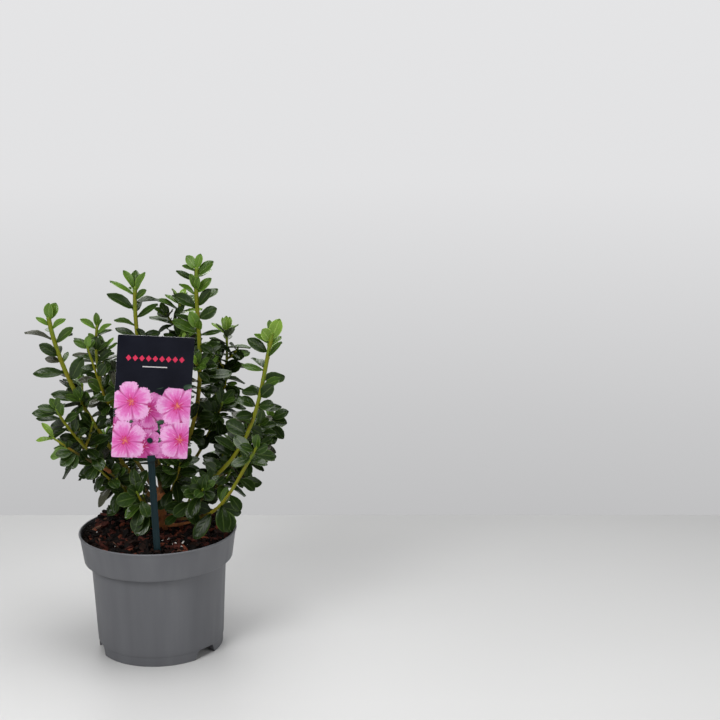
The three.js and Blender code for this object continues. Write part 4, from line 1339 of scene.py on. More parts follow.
def try_leaf(twig, t, turn, opening, length, breadth, droop, tone):
    """Adds the leaf that leaves a twig at one place and turn, if it has room."""
    along = heading_at(twig["bend"], t)
    heading = unit(along * math.cos(opening) + outwards(along, turn) * math.sin(opening)
                   + np.array([0, 0, -0.35 * droop]))
    root = bend_at(twig["bend"], t)[0]
    outward = root * np.array([1, 1, 0]) / CROWN_HIGH[0]
    light = along * 0.75 + outward * 0.5 + LIGHT_SIDE * (1 + droop)
    across = unit(np.cross(heading, light))
    bend = between(0.10, 0.55, leaf_draw.random()) * (0.7 + droop)
    leaf_data = {
        "root": root, "along": heading, "across": across, "face": np.cross(across, heading),
        "length": np.float64(length), "width": np.float64(length * breadth),
        "bend": np.float64(bend), **uneven_blade(0.05 + 0.45 * droop)}
    return keep_leaf(leaf_data, twig["limb"], tone)

# %% [markdown]
# The shoots that stand out against the wall carry leaves that are listed one by one, as read from
# the photo. Each row gives where on the limb the leaf sits, where its tip is in millimetres from
# there, its width, how far its upper face is turned to the front, and its tone. The rule then
# fills in the rest of the crown. A set leaf still has to find room, so each may shift a little.

# %% Leaves set one by one
TO_FRONT = np.array([0.17, -0.96, 0.21])
SET_SPACE = -18.0          # how far a set leaf may reach over towards another limb
SHIFTS = [(size, depth) for size in (1.0, 0.93, 0.86) for depth in (0, -4, 4, 8)]
DEEP_AND_SHADED, DARK, MID, FRESH, TIP, DUSKY_SHEEN = range(6)
# DEEP_AND_SHADED is the darkest green of the oldest leaves. Given here to leaves low in the crown, in
# its middle and at the back, it is painted shade.
SET_LEAVES = {
    "left": [
        (0.99, (2, -5, 20), 12, 0.9, FRESH), (0.99, (8, 1, 19), 12, 0.85, FRESH),
        (0.96, (-14, -4, 10), 7, 0.8, FRESH), (0.94, (17, -4, 12), 8, 0.8, FRESH),
        (0.885, (-29, -8, 9), 9, 0.35, DUSKY_SHEEN), (0.86, (22, -9, 19), 11, 0.8, MID),
        (0.79, (-18, -12, 15), 12, 0.92, DARK), (0.76, (-17, -2, 4), 10, 0.7, DUSKY_SHEEN),
        (0.75, (6, 4, 12), 6, 0.8, MID), (0.7, (-34, -6, 0), 13, 0.85, DARK),
        (0.67, (-16, 13, 5), 11, 0.6, DUSKY_SHEEN), (0.655, (17, -10, 28), 15, 0.95, DARK),
        (0.56, (-28, -8, 7), 13, 0.9, DARK), (0.535, (-13, -8, -16), 9, 0.5, DEEP_AND_SHADED),
        (0.53, (12, -10, 9), 9, 0.8, DARK), (0.5, (2, -12, 25), 14, 0.9, MID),
        (0.6, (-19, 12, 10), 11, 0.6, DEEP_AND_SHADED), (0.47, (-14, -8, -14), 9, 0.6, DEEP_AND_SHADED),
        (0.45, (-5, -14, -10), 11, 0.85, DARK), (0.42, (14, -8, 12), 12, 0.8, DEEP_AND_SHADED),
        (0.34, (12, -9, 14), 12, 0.85, DARK), (0.3, (-16, -9, -8), 12, 0.85, DUSKY_SHEEN),
        (0.23, (-9, -12, 14), 13, 0.9, DARK), (0.38, (-14, -11, 4), 13, 0.9, DARK)],
    "inner_low": [
        (1.0, (2, -3, 14), 8, 0.9, FRESH), (0.995, (-14, -4, 10), 8, 0.85, MID),
        (0.99, (6, 4, 11), 7, 0.7, MID), (0.97, (-17, -4, -2), 5, 0.5, DUSKY_SHEEN),
        (0.86, (-13, -5, 2), 8, 0.7, DARK), (0.78, (-20, -6, 0), 9, 0.6, DUSKY_SHEEN),
        (0.8, (11, -8, 15), 11, 0.9, DARK), (0.68, (-13, -9, 14), 13, 0.92, MID),
        (0.62, (-16, -8, -8), 11, 0.7, DUSKY_SHEEN), (0.64, (14, -8, 9), 12, 0.85, DEEP_AND_SHADED),
        (0.52, (12, -9, -10), 12, 0.85, DEEP_AND_SHADED), (0.48, (-12, -10, 10), 12, 0.9, DARK),
        (0.4, (-15, -9, -8), 12, 0.85, DEEP_AND_SHADED)],
    "inner_left": [
        (0.985, (-16, -5, 12), 8, 0.75, FRESH), (1.0, (0, -2, 16), 8, 0.9, FRESH),
        (0.96, (17, -4, 11), 8, 0.7, FRESH), (0.97, (5, 6, 13), 7, 0.6, MID),
        (0.88, (-6, -7, 15), 8, 0.9, FRESH), (0.86, (-22, -6, 13), 9, 0.6, MID),
        (0.85, (4, -9, 18), 12, 0.95, DARK), (0.84, (14, -3, 12), 8, 0.55, MID),
        (0.8, (-25, -3, 5), 9, 0.5, DARK), (0.78, (17, -7, 14), 10, 0.85, DARK),
        (0.7, (3, -6, 17), 9, 0.8, DARK), (0.7, (14, -6, 12), 11, 0.8, DARK),
        (0.68, (-14, -6, 7), 9, 0.8, DEEP_AND_SHADED), (0.65, (-20, -8, 3), 9, 0.55, DEEP_AND_SHADED),
        (0.6, (-20, -8, -18), 9, 0.6, MID), (0.62, (20, -6, 4), 11, 0.75, DEEP_AND_SHADED)],
    "upper_left": [
        (0.97, (-11, -5, 23), 9, 0.7, FRESH), (0.985, (1, 3, 21), 11, 0.9, MID),
        (0.96, (12, -4, 22), 9, 0.8, FRESH), (0.99, (4, 8, 16), 8, 0.6, FRESH),
        (0.93, (-25, -6, 16), 9, 0.65, FRESH), (0.88, (14, -8, 12), 9, 0.8, MID),
        (0.8, (-28, -8, 18), 13, 0.85, DARK), (0.74, (25, -6, 16), 12, 0.7, DARK),
        (0.69, (-22, -8, 7), 10, 0.55, MID), (0.68, (9, -9, -10), 9, 0.8, DEEP_AND_SHADED),
        (0.62, (-24, 4, 9), 12, 0.7, DARK), (0.6, (24, 2, 8), 12, 0.7, DEEP_AND_SHADED)],
    "top": [
        (1.0, (-10, -4, 15), 11, 0.9, FRESH), (0.99, (-14, -7, 7), 8, 0.65, MID),
        (1.0, (5, -2, 17), 9, 0.9, FRESH), (0.97, (19, -5, 15), 12, 0.9, MID),
        (0.985, (14, 5, 9), 8, 0.6, FRESH), (0.94, (-20, -6, 11), 10, 0.8, DARK),
        (0.89, (-5, -9, 18), 9, 0.9, FRESH), (0.88, (4, -10, 17), 7, 0.9, FRESH),
        (0.87, (17, -6, 17), 10, 0.85, FRESH), (0.86, (-17, -6, 13), 9, 0.7, FRESH),
        (0.8, (-23, -8, 14), 13, 0.92, DARK), (0.79, (-27, 4, 14), 10, 0.7, DARK),
        (0.8, (16, -8, 20), 12, 0.8, DARK), (0.74, (21, -6, 12), 14, 0.9, DARK),
        (0.69, (-8, -9, 20), 13, 0.95, FRESH), (0.68, (3, -11, 14), 8, 0.9, FRESH),
        (0.67, (-27, -8, 15), 12, 0.85, MID), (0.7, (-24, 0, 14), 9, 0.6, DARK),
        (0.66, (24, -3, 5), 11, 0.5, DARK), (0.62, (14, -9, -8), 11, 0.8, DEEP_AND_SHADED),
        (0.58, (22, 8, 7), 13, 0.85, DEEP_AND_SHADED), (0.55, (17, 6, -12), 13, 0.9, DARK),
        (0.51, (21, 10, 12), 13, 0.85, DEEP_AND_SHADED), (0.48, (20, 7, -7), 13, 0.9, DEEP_AND_SHADED),
        (0.44, (15, 9, 15), 13, 0.9, DARK), (0.41, (21, 8, 0), 13, 0.85, DEEP_AND_SHADED),
        (0.38, (14, 7, -15), 13, 0.9, DEEP_AND_SHADED), (0.31, (21, -5, -2), 12, 0.8, DEEP_AND_SHADED),
        (0.29, (12, 12, 18), 13, 0.7, DEEP_AND_SHADED), (0.26, (21, 2, 6), 13, 0.85, DARK),
        (0.23, (15, -9, -10), 12, 0.8, DEEP_AND_SHADED), (0.2, (17, 10, 10), 13, 0.8, DEEP_AND_SHADED),
        (0.37, (-4, -14, -16), 12, 0.8, DARK)],
    "right": [
        (0.97, (-8, -7, 14), 13, 0.95, TIP), (0.975, (10, -3, 23), 14, 0.95, TIP),
        (0.96, (-16, -4, 11), 8, 0.75, FRESH), (0.985, (-2, 5, 18), 10, 0.85, FRESH),
        (0.95, (12, 6, 9), 9, 0.6, FRESH), (0.9, (16, -14, 19), 9, 0.6, MID),
        (0.92, (-21, -8, 16), 13, 0.88, DARK), (0.84, (-23, -8, 7), 10, 0.7, MID),
        (0.76, (20, -10, 11), 11, 0.8, MID), (0.71, (16, -10, 16), 14, 0.92, DARK),
        (0.67, (18, -10, 2), 12, 0.85, DARK), (0.62, (-19, -8, 0), 12, 0.9, DEEP_AND_SHADED),
        (0.58, (-8, -6, 3), 6, 0.8, MID), (0.51, (-21, -9, 16), 16, 0.95, DARK),
        (0.43, (13, -9, -11), 12, 0.8, DARK), (0.39, (19, -4, 5), 11, 0.7, DEEP_AND_SHADED),
        (0.37, (-21, 8, 12), 13, 0.8, DEEP_AND_SHADED), (0.33, (9, 12, 15), 12, 0.8, DEEP_AND_SHADED),
        (0.3, (-22, 2, 9), 13, 0.85, DARK), (0.26, (-11, -10, 15), 12, 0.9, DARK),
        (0.46, (-16, 10, 12), 13, 0.85, DEEP_AND_SHADED), (0.55, (12, 8, -10), 13, 0.85, DEEP_AND_SHADED),
        (0.66, (-21, 6, 8), 13, 0.88, DARK), (0.73, (-20, 9, 1), 13, 0.88, DEEP_AND_SHADED),
        (0.57, (-21, 5, 11), 13, 0.88, DUSKY_SHEEN)],
    "side_right": [
        (1.0, (3, -4, 9), 7, 0.9, FRESH), (1.0, (-4, -2, 9), 6, 0.8, FRESH),
        (0.99, (21, -6, 9), 12, 0.85, DARK), (0.97, (20, -8, -2), 12, 0.85, DARK),
        (0.95, (17, -9, -17), 13, 0.88, DEEP_AND_SHADED), (0.93, (8, -13, -20), 13, 0.92, DARK),
        (0.97, (-18, -8, 10), 12, 0.88, DARK), (0.92, (-19, -10, -2), 12, 0.9, DEEP_AND_SHADED),
        (0.85, (-6, -14, -14), 13, 0.92, DARK), (0.8, (14, -12, -10), 13, 0.9, DEEP_AND_SHADED),
        (0.7, (-15, -10, 8), 12, 0.88, DEEP_AND_SHADED), (0.62, (4, -14, -15), 13, 0.92, DARK),
        (0.55, (14, -10, 10), 12, 0.88, DEEP_AND_SHADED), (0.33, (-21, -14, -4), 13, 0.92, DEEP_AND_SHADED),
        (0.35, (-15, -13, 10), 12, 0.9, DEEP_AND_SHADED), (0.42, (4, -15, -12), 12, 0.92, DEEP_AND_SHADED)],
    "side_left": [
        (0.36, (18, -14, -6), 13, 0.92, DEEP_AND_SHADED), (0.4, (6, -16, -14), 13, 0.92, DEEP_AND_SHADED),
        (0.46, (-9, -15, -12), 12, 0.9, DARK), (0.38, (12, -14, 11), 12, 0.9, DEEP_AND_SHADED),
        (0.54, (5, -15, 8), 12, 0.9, DEEP_AND_SHADED)],
    "low_right": [
        (0.5, (14, -11, -23), 20, 0.96, DARK), (0.53, (9, -3, 21), 8, 0.4, MID),
        (0.42, (-18, -11, -26), 15, 0.92, DEEP_AND_SHADED), (0.66, (12, -6, -16), 12, 0.8, DEEP_AND_SHADED),
        (0.8, (16, -6, -12), 12, 0.8, DEEP_AND_SHADED), (0.98, (-14, -8, 8), 10, 0.8, DARK),
        (0.99, (3, -6, 17), 10, 0.85, MID), (0.97, (15, -8, 9), 11, 0.85, DARK),
        (0.94, (-18, -18, -4), 11, 0.8, DARK), (0.92, (19, -6, -3), 11, 0.75, DARK),
        (0.98, (-3, 8, 15), 9, 0.6, MID)],
    "spreading_left": [
        (0.99, (-11, -5, 18), 8, 0.75, TIP), (1.0, (-17, -5, -1), 7, 0.65, TIP),
        (0.66, (-16, -11, -1), 11, 0.9, DARK), (0.6, (-15, -11, -10), 12, 0.9, DARK),
        (0.74, (1, -6, 10), 8, 0.85, DARK), (0.6, (-3, -10, -14), 10, 0.9, DARK),
        (0.3, (-18, -12, 6), 12, 0.92, DARK), (0.24, (-8, -13, -12), 12, 0.92, DARK),
        (0.42, (-4, -12, 12), 11, 0.9, DEEP_AND_SHADED)],
    "low_left": [
        (1.0, (-18, -6, 5), 10, 0.9, DARK), (0.96, (-25, -7, 1), 11, 0.85, DARK),
        (0.88, (-25, -5, 1), 10, 0.75, DARK), (0.9, (4, -10, 17), 11, 0.85, MID),
        (0.84, (17, -9, 10), 11, 0.85, DARK), (0.76, (-20, -6, -10), 11, 0.75, DEEP_AND_SHADED),
        (1.0, (3, -3, 14), 8, 0.85, MID), (1.0, (-7, 2, 12), 8, 0.8, MID),
        (0.7, (6, -8, 18), 11, 0.8, DARK), (0.62, (-19, -6, 6), 12, 0.8, DEEP_AND_SHADED),
        (0.55, (14, -9, -9), 11, 0.8, DEEP_AND_SHADED), (0.44, (-13, -8, -15), 12, 0.85, DARK),
        (0.4, (-6, -10, 15), 12, 0.85, DARK), (0.34, (13, -10, 8), 12, 0.85, DEEP_AND_SHADED),
        (0.49, (13, -14, -13), 13, 0.92, DARK)],
    "low_side_left": [
        (0.72, (-15, -9, -24), 10, 0.75, DUSKY_SHEEN), (0.88, (-7, -6, -14), 8, 0.8, DARK),
        (0.97, (-22, -7, -6), 13, 0.88, DARK), (0.98, (-14, -6, 9), 12, 0.88, DARK),
        (0.8, (12, -10, -6), 12, 0.88, DARK), (0.66, (-15, -8, 6), 12, 0.85, DEEP_AND_SHADED),
        (0.6, (-4, -13, -14), 12, 0.92, DARK), (0.5, (-14, -10, 10), 12, 0.85, DARK),
        (0.4, (8, -12, 12), 12, 0.9, DARK), (0.35, (-12, -10, -8), 11, 0.8, DEEP_AND_SHADED)],
    "front_left": [
        (0.46, (-10, -17, -23), 17, 0.97, DARK), (0.72, (-17, -9, -15), 12, 0.75, MID),
        (0.9, (-22, -10, -3), 15, 0.95, DARK), (0.98, (-9, -9, 10), 12, 0.9, DARK),
        (0.8, (9, -12, -15), 12, 0.9, DARK), (1.0, (7, -8, 14), 11, 0.85, DARK),
        (0.6, (-17, -2, 9), 12, 0.8, DEEP_AND_SHADED), (0.55, (12, -12, -5), 13, 0.9, DARK),
        (0.85, (-9, -4, 16), 12, 0.88, DARK), (1.0, (-5, 4, 25), 12, 0.9, DARK),
        (0.99, (9, 8, 23), 12, 0.88, DEEP_AND_SHADED)],
    "front_right": [
        (0.9, (-8, -13, -19), 13, 0.95, DEEP_AND_SHADED), (0.98, (12, -9, -7), 13, 0.92, DEEP_AND_SHADED),
        (0.62, (9, -14, -16), 12, 0.9, DEEP_AND_SHADED), (0.36, (-12, -12, -8), 10, 0.8, DEEP_AND_SHADED),
        (0.78, (-5, -14, -17), 12, 0.9, DEEP_AND_SHADED), (0.94, (4, -6, 18), 12, 0.85, DARK),
        (0.84, (-17, -2, 12), 12, 0.8, DEEP_AND_SHADED), (0.7, (13, 4, 12), 12, 0.7, DEEP_AND_SHADED),
        (0.98, (-13, -9, 6), 12, 0.9, DEEP_AND_SHADED), (0.9, (15, -6, 8), 12, 0.85, DEEP_AND_SHADED)],
    "low_centre": [
        (0.36, (8, -14, -18), 13, 0.95, DEEP_AND_SHADED), (0.32, (-9, -14, -9), 11, 0.9, DEEP_AND_SHADED),
        (0.9, (-17, -8, -18), 13, 0.92, DEEP_AND_SHADED), (0.66, (18, -12, -14), 13, 0.9, DEEP_AND_SHADED),
        (0.5, (-7, -14, -15), 12, 0.9, DEEP_AND_SHADED), (0.76, (-15, -10, 5), 13, 0.9, DEEP_AND_SHADED),
        (0.98, (-10, -6, 15), 12, 0.85, DARK), (0.97, (14, -8, 11), 12, 0.9, DEEP_AND_SHADED),
        (0.84, (20, -4, 2), 13, 0.8, DEEP_AND_SHADED), (0.6, (-16, 6, 10), 13, 0.8, DEEP_AND_SHADED),
        (0.72, (5, -14, -21), 13, 0.9, DEEP_AND_SHADED), (0.4, (-6, -10, 15), 12, 0.85, DEEP_AND_SHADED),
        (0.46, (14, -10, 8), 12, 0.85, DEEP_AND_SHADED)],
    "centre": [
        (0.24, (12, -10, 3), 12, 0.85, DEEP_AND_SHADED), (0.28, (-10, -10, -8), 12, 0.85, DEEP_AND_SHADED),
        (0.31, (3, -12, -16), 12, 0.9, DEEP_AND_SHADED)],
    "back_right": [
        (0.92, (-19, -8, 6), 12, 0.88, DARK), (0.88, (19, -8, -4), 12, 0.88, DEEP_AND_SHADED),
        (0.82, (-17, -9, -10), 13, 0.9, DEEP_AND_SHADED), (0.78, (18, -8, 10), 13, 0.88, DARK),
        (0.74, (-20, -6, 4), 13, 0.88, DEEP_AND_SHADED), (0.7, (18, -10, -9), 13, 0.9, DARK),
        (0.66, (-6, -13, 16), 14, 0.92, MID), (0.62, (-20, -8, -6), 13, 0.88, DARK),
        (0.58, (18, -9, 8), 13, 0.88, DEEP_AND_SHADED), (0.54, (4, -10, -16), 13, 0.92, MID),
        (0.5, (-18, -9, 8), 13, 0.88, DEEP_AND_SHADED), (0.46, (19, -9, -4), 13, 0.9, DARK),
        (0.42, (-8, -13, -15), 13, 0.92, DEEP_AND_SHADED), (0.38, (16, -9, 10), 13, 0.88, DEEP_AND_SHADED)],
}
leaf_draw = np.random.default_rng(417)


def place_leaf(twig, t, tip, width, shown, tone):
    """A leaf from a twig to a given tip, with its upper face turned to the front by a share."""
    way = unit(tip)
    front = unit(TO_FRONT - way * (TO_FRONT @ way))
    side = np.cross(way, front)
    face = front * shown + side * math.copysign(math.sqrt(1 - shown * shown), side[2])
    bend = leaf_draw.uniform(0.25, 0.70)
    heading = way * math.cos(bend / 2) + face * math.sin(bend / 2)
    upper = face * math.cos(bend / 2) - way * math.sin(bend / 2)
    leaf_data = {
        "root": bend_at(twig["bend"], t)[0], "along": heading, "across": np.cross(heading, upper),
        "face": upper, "length": np.linalg.norm(tip) * (bend / 2) / math.sin(bend / 2),
        "width": np.float64(width), "bend": np.float64(bend),
        **uneven_blade(0.35 if tip[2] < 0 else 0.05)}
    return keep_leaf(leaf_data, twig["limb"], tone, SET_SPACE)


leaders = {limbs[twig["limb"]]["name"]: twig for twig in twigs if twig["kind"] == "leader"}
crowded_out = []
for name, rows in SET_LEAVES.items():
    for t, tip, width, shown, tone in rows:
        if not any(place_leaf(leaders[name], t, np.array(tip) * size + (0, depth, 0),
                              width * size, shown, tone) for size, depth in SHIFTS):
            crowded_out.append((name, t, tip))
print(len(leaves), "leaves set by hand, no room for", crowded_out)

# %% [markdown]
# Leaves follow each other round the shoot by the golden turn, which gives every leaf its own
# light. Low ones spread, higher ones stand steeper. At the tip they crowd into a whorl of six
# to eight, and the upright ones in its middle have only just unfolded. Tones are dealt out by
# age: the oldest leaves are the darkest and the newest whorls are a fresh green. Each limb also
# shifts its leaves' tones: darker on low and inner limbs as painted shade, lighter on high limbs
# partly as painted light. Here and there an older leaf on a lit limb is a dull, dusky grey-green
# with a grey sheen painted in.

# %% Grow the leaves
LIGHT_SIDE = np.array([-0.10, -0.50, 0.30])    # upper faces lean this way
TONE_LIMITS = [0.36, 0.68, 0.88, 1.03]
# Some older leaves on lit limbs get the dusky tone: a dull grey-green with a grey sheen painted in.
DUSKY_SHEEN_SHARE = 0.09
WHORL_END = 6.5            # millimetres from the tip to the first leaf below the whorl
NEWEST_SPACING, LEAF_SPACING = 3.6, 6.8
GROWN_AT = 20              # leaves are full grown this far below the tip
OLD_AT = 70                # and at their darkest this far below it
BEHIND = 0.35              # how far a leaf has to turn to the back to be out of sight
KINDS = {  # upright leaves, spreading leaves, largest length, how much older it looks
    "leader": (4, 4, 33.0, 0.0),
    "side": (3, 4, 31.0, 0.26),
    "fine": (2, 4, 29.0, 0.34),
}


def tone_of(age, painted_light_shift):
    """Which tone a leaf has: `age` runs from 0 for the oldest to 1 for the newest."""
    # the limb's shift darkens leaves in the crown's shade and lightens lit ones: painted light and
    # shade
    value = age + painted_light_shift + leaf_draw.normal(0, 0.08)
    # the dusky tone paints in a grey sheen, so only leaves outside the painted shade get it
    if value < 0.6 and leaf_draw.random() < DUSKY_SHEEN_SHARE and painted_light_shift > -0.2:
        return DUSKY_SHEEN
    return int(np.searchsorted(TONE_LIMITS, value))


def grow_leaf(twig, t, turn, opening, length, breadth, droop, age, tries=6):
    """Tries a leaf at a few turns and sizes, and leaves it out if it never has room."""
    tone = tone_of(age, HABITS[limbs[twig["limb"]]["name"]][3])
    for attempt in range(tries):
        if try_leaf(twig, t, turn + attempt * 0.8, math.radians(opening),
                    length * (1 - attempt * 0.06), breadth, droop, tone):
            twig["last_leaf"] = max(twig["last_leaf"], t)
            return


for twig in twigs:
    crowding, single_above, droop, _ = HABITS[limbs[twig["limb"]]["name"]]
    upright, spreading, largest, older = KINDS[twig["kind"]]
    phase = leaf_draw.random() * math.tau
    spray = leaf_draw.normal(0, 0.07) - older
    leader = twig["kind"] == "leader"
    single = twig["length"] * (1 - single_above) if leader else 0   # its leaves are listed one by one
    if single:
        upright, spreading = 0, 0
    for i in range(upright):
        grow_leaf(twig, 0.999, phase + math.tau * i / upright, leaf_draw.uniform(12, 30),
                  largest * leaf_draw.uniform(0.46, 0.64), 0.46, 0.0, 1.06 + spray, 3)
    for i in range(spreading):
        grow_leaf(twig, 1 - leaf_draw.uniform(1, 4) / twig["length"],
                  phase + 0.6 + math.tau * i / spreading, leaf_draw.uniform(44, 62),
                  largest * leaf_draw.uniform(0.55, 0.72), 0.47, droop * 0.5, 0.93 + spray, 4)
    below, i = WHORL_END, 0
    while below < twig["length"] * (1 - twig["bare"]):
        grown = min(1.0, below / GROWN_AT)
        t, turn = 1 - below / twig["length"], phase + GOLDEN_TURN * i + leaf_draw.normal(0, 0.2)
        behind = outwards(heading_at(twig["bend"], t), turn)[1] > BEHIND
        if below > single or behind:
            grow_leaf(twig, t, turn, between(58, 76, grown) + leaf_draw.normal(0, 7),
                      largest * between(0.74, 1.0, grown) * leaf_draw.uniform(0.84, 1.06),
                      leaf_draw.uniform(0.38, 0.48) + 0.08 * droop, droop,
                      between(0.86, 0.34, min(1.0, below / OLD_AT)) + spray,
                      1 if below < single else 6)
        below += between(NEWEST_SPACING, LEAF_SPACING, grown) / min(1.5, max(1.0, crowding))
        i += 1
print(len(leaves), "leaves", np.bincount([leaf["tone"] for leaf in leaves]))

# %% [markdown]
# A leaf's finish has three parts: a ground tone with faint mottling, a paler midrib and a thin
# light margin, and a satin gloss with fine veins in relief. The midrib and the veins follow the
# blade, so they read two values that each corner carries: how far across and how far along the
# leaf it lies. Undersides are paler and matt.

# %% Leaf finishes
VEINS = 5.5                # to the length of a leaf
VEIN_SLANT = -4.5
UNDER_GREY = (0.125, 0.140, 0.085)
# The deep tone and its low gloss also serve leaves in the crown's shade, as painted shade.
TONES = [  # name, ground, midrib, gloss, in the order of DEEP_AND_SHADED to DUSKY_SHEEN
    ("deep", (0.010, 0.022, 0.003), (0.050, 0.078, 0.018), 0.12),
    ("dark", (0.016, 0.036, 0.0045), (0.086, 0.126, 0.032), 0.27),
    ("mid", (0.034, 0.072, 0.007), (0.130, 0.205, 0.040), 0.34),
    ("fresh", (0.080, 0.160, 0.014), (0.230, 0.340, 0.070), 0.38),
    ("tip", (0.150, 0.260, 0.024), (0.330, 0.460, 0.100), 0.38),
    # dusky: a dull grey-green with a grey sheen painted in
    ("dusky", (0.040, 0.042, 0.024), (0.100, 0.105, 0.062), 0.36),
]


def scaled(tone, factor):
    return tuple(x * factor for x in tone)


def leaf_finish(name, tone, rib, roughness, specular, vein_depth):
    draw = Finish(name, tone, roughness, specular)
    across, along = (draw.node("Attribute", "Fac", attribute_name=value) for value in (
        "across", "along"))
    off_rib = draw.size_of(across)
    ground = draw.ramp(draw.field(34, 3), [
        (0.32, scaled(tone, 0.74)), (0.5, tone), (0.68, scaled(tone, 1.3))])
    slanted = draw.add(draw.times(along, VEINS), draw.times(off_rib, VEIN_SLANT))
    vein = draw.size_of(draw.maths("SINE", draw.times(slanted, math.pi)))
    for line, strength, light in (
            (draw.soft_step(vein, 0.26, 0.0), 0.05, rib),
            (draw.soft_step(off_rib, 0.055, 0.015), 0.62, rib),
            (draw.soft_step(off_rib, 0.415, 0.47), 0.42, scaled(rib, 1.4))):
        ground = draw.mix(draw.times(line, strength), ground, light)
    draw.colour(ground)
    draw.vary_roughness(draw.field(120, 3), roughness - 0.07, roughness + 0.09)
    height = draw.add(draw.times(draw.maths("POWER", vein, 0.5), 0.36),
                      draw.times(draw.field(900, 2), 0.3))
    draw.relief(height, vein_depth, 0.3)
    return draw


leaf_finishes = []
for name, tone, rib, gloss in TONES:
    under = tuple(between(x, grey, 0.42) for x, grey in zip(tone, UNDER_GREY))
    leaf_finishes.append(leaf_finish("leaf_" + name, tone, rib, 0.24, gloss, 0.8 * MM))
    leaf_finishes.append(leaf_finish(
        "leaf_back_" + name, under, scaled(under, 1.6), 0.6, 0.3, 0.5 * MM))
print(len(leaf_finishes), "leaf finishes")

# %% [markdown]
# The leaves are joined into four pieces, by the side of the plant they grow on. Each piece
# replaces the foliage masses of its own limbs.

# %% Leaf pieces
LEAF_PIECES = {
    "leaves_left": ["left", "inner_left", "inner_low", "low_left", "spreading_left", "side_left"],
    "leaves_right": ["right", "low_right", "top", "side_right"],
    "leaves_front": ["front_left", "front_right", "low_centre", "low_side_left", "centre",
                     "upper_left"],
    "leaves_back": ["back_top", "back_left", "back_right", "back", "low_back_left",
                    "low_back_right"],
}


def set_values(piece, name, values):
    """Gives every corner of a piece a value that its finish can read."""
    layer = piece.data.attributes.new(name, "FLOAT", "POINT")
    layer.data.foreach_set("value", np.asarray(values, dtype=np.float32))


def leaf_piece(name, limb_names):
    chosen = [leaf for leaf in leaves if limbs[leaf["limb"]]["name"] in limb_names]
    data = {key: np.array([leaf[key] for leaf in chosen]) for key in (
        "root", "along", "across", "face", "length", "width", "bend", "cup", "twist", "blunt")}
    corners, faces = joined([(places * MM, leaf_faces) for places in shaped(leaf_corners, data)])
    tones = [leaf["tone"] * 2 + under for leaf in chosen for under in leaf_under]
    piece = mesh_piece(name, corners, faces, leaf_finishes, tones)
    across = [x / half_width(y) / 2 for x, y, _ in leaf_corners]
    set_values(piece, "across", np.tile(across, len(chosen)))
    set_values(piece, "along", np.tile(leaf_corners[:, 1], len(chosen)))
    settle(piece, name, ["foliage_" + limb_name for limb_name in limb_names], 70)
    print(len(chosen), "leaves in", name)


for name, limb_names in LEAF_PIECES.items():
    leaf_piece(name, limb_names)

# %% [markdown]
# ## Wood
# The stem and the boughs are one winding tube each: rings of corners that follow the bent line,
# a little thicker where a bough leaves the stem. A curve with a bevel would do this as well, but
# rings made in code can carry real relief: furrows along the bark of the old wood, and small
# swellings where leaves sit on the young shoots. The frames of the rings turn as little as
# possible from one to the next, so the tube never twists.

# %% Winding tubes
def tube(points, radii, around, relief, ages):
    """Corners, faces and ages of a closed tube along a path, in millimetres."""
    headings = np.gradient(points, axis=0)
    headings /= np.linalg.norm(headings, axis=1)[:, None]
    side = square_to(headings[0])[0]
    sides = []
    for heading in headings:
        side = unit(side - heading * (side @ heading))
        sides.append(side)
    sides = np.array(sides)
    others = np.cross(headings, sides)
    angles = np.arange(around) / around * math.tau
    rings = (np.cos(angles)[None, :, None] * sides[:, None]
             + np.sin(angles)[None, :, None] * others[:, None])
    travelled = np.concatenate([[0], np.cumsum(np.linalg.norm(np.diff(points, axis=0), axis=1))])
    depth = np.array([[relief(angle, place) for angle in angles] for place in travelled])
    reach = radii[:, None] + depth * np.minimum(radii, 1)[:, None]
    corners = (points[:, None] + rings * reach[..., None]).reshape(-1, 3)
    corners = np.concatenate([corners, points[:1], points[-1:]])
    faces = []
    for low in range(0, (len(points) - 1) * around, around):
        for j in range(around):
            k = (j + 1) % around
            faces.append((low + j, low + k, low + around + k, low + around + j))
    first, last = len(corners) - 2, len(corners) - 1
    for j in range(around):
        k = (j + 1) % around
        faces.append((first, k, j))
        faces.append((last, first - around + j, first - around + k))
    return corners, faces, np.concatenate([np.repeat(ages, around), ages[:1], ages[-1:]])


def joined_tubes(name, tubes, finish):
    corners, faces = joined([(places, sides) for places, sides, _ in tubes])
    piece = mesh_piece(name, corners * MM, faces, [finish])
    set_values(piece, "age", np.concatenate([ages for _, _, ages in tubes]))
    return piece


def bark_relief(depth, seed):
    """Furrows that run along the wood, and a few rings and knots."""
    def relief(angle, place):
        across = Vector((math.cos(angle) * 2.2, math.sin(angle) * 2.2, place * 0.10 + seed))
        knots = Vector((math.cos(angle), math.sin(angle), place * 0.16 - seed))
        return (noise.fractal(across, 1.0, 2.0, 4) * depth
                + max(0.0, noise.noise(knots) - 0.25) * depth * 2.5)
    return relief

# %% [markdown]
# Colour follows age. The foot of the stem and the lowest boughs are orange-brown with grey
# flakes; further up the bark turns olive, then yellow-green with a brown blush, and a clear
# green at the tips of this year. Each ring of corners carries its age, from 0 at the foot to 1
# at the youngest tip, and a ramp turns that into colour, broken up by noise.

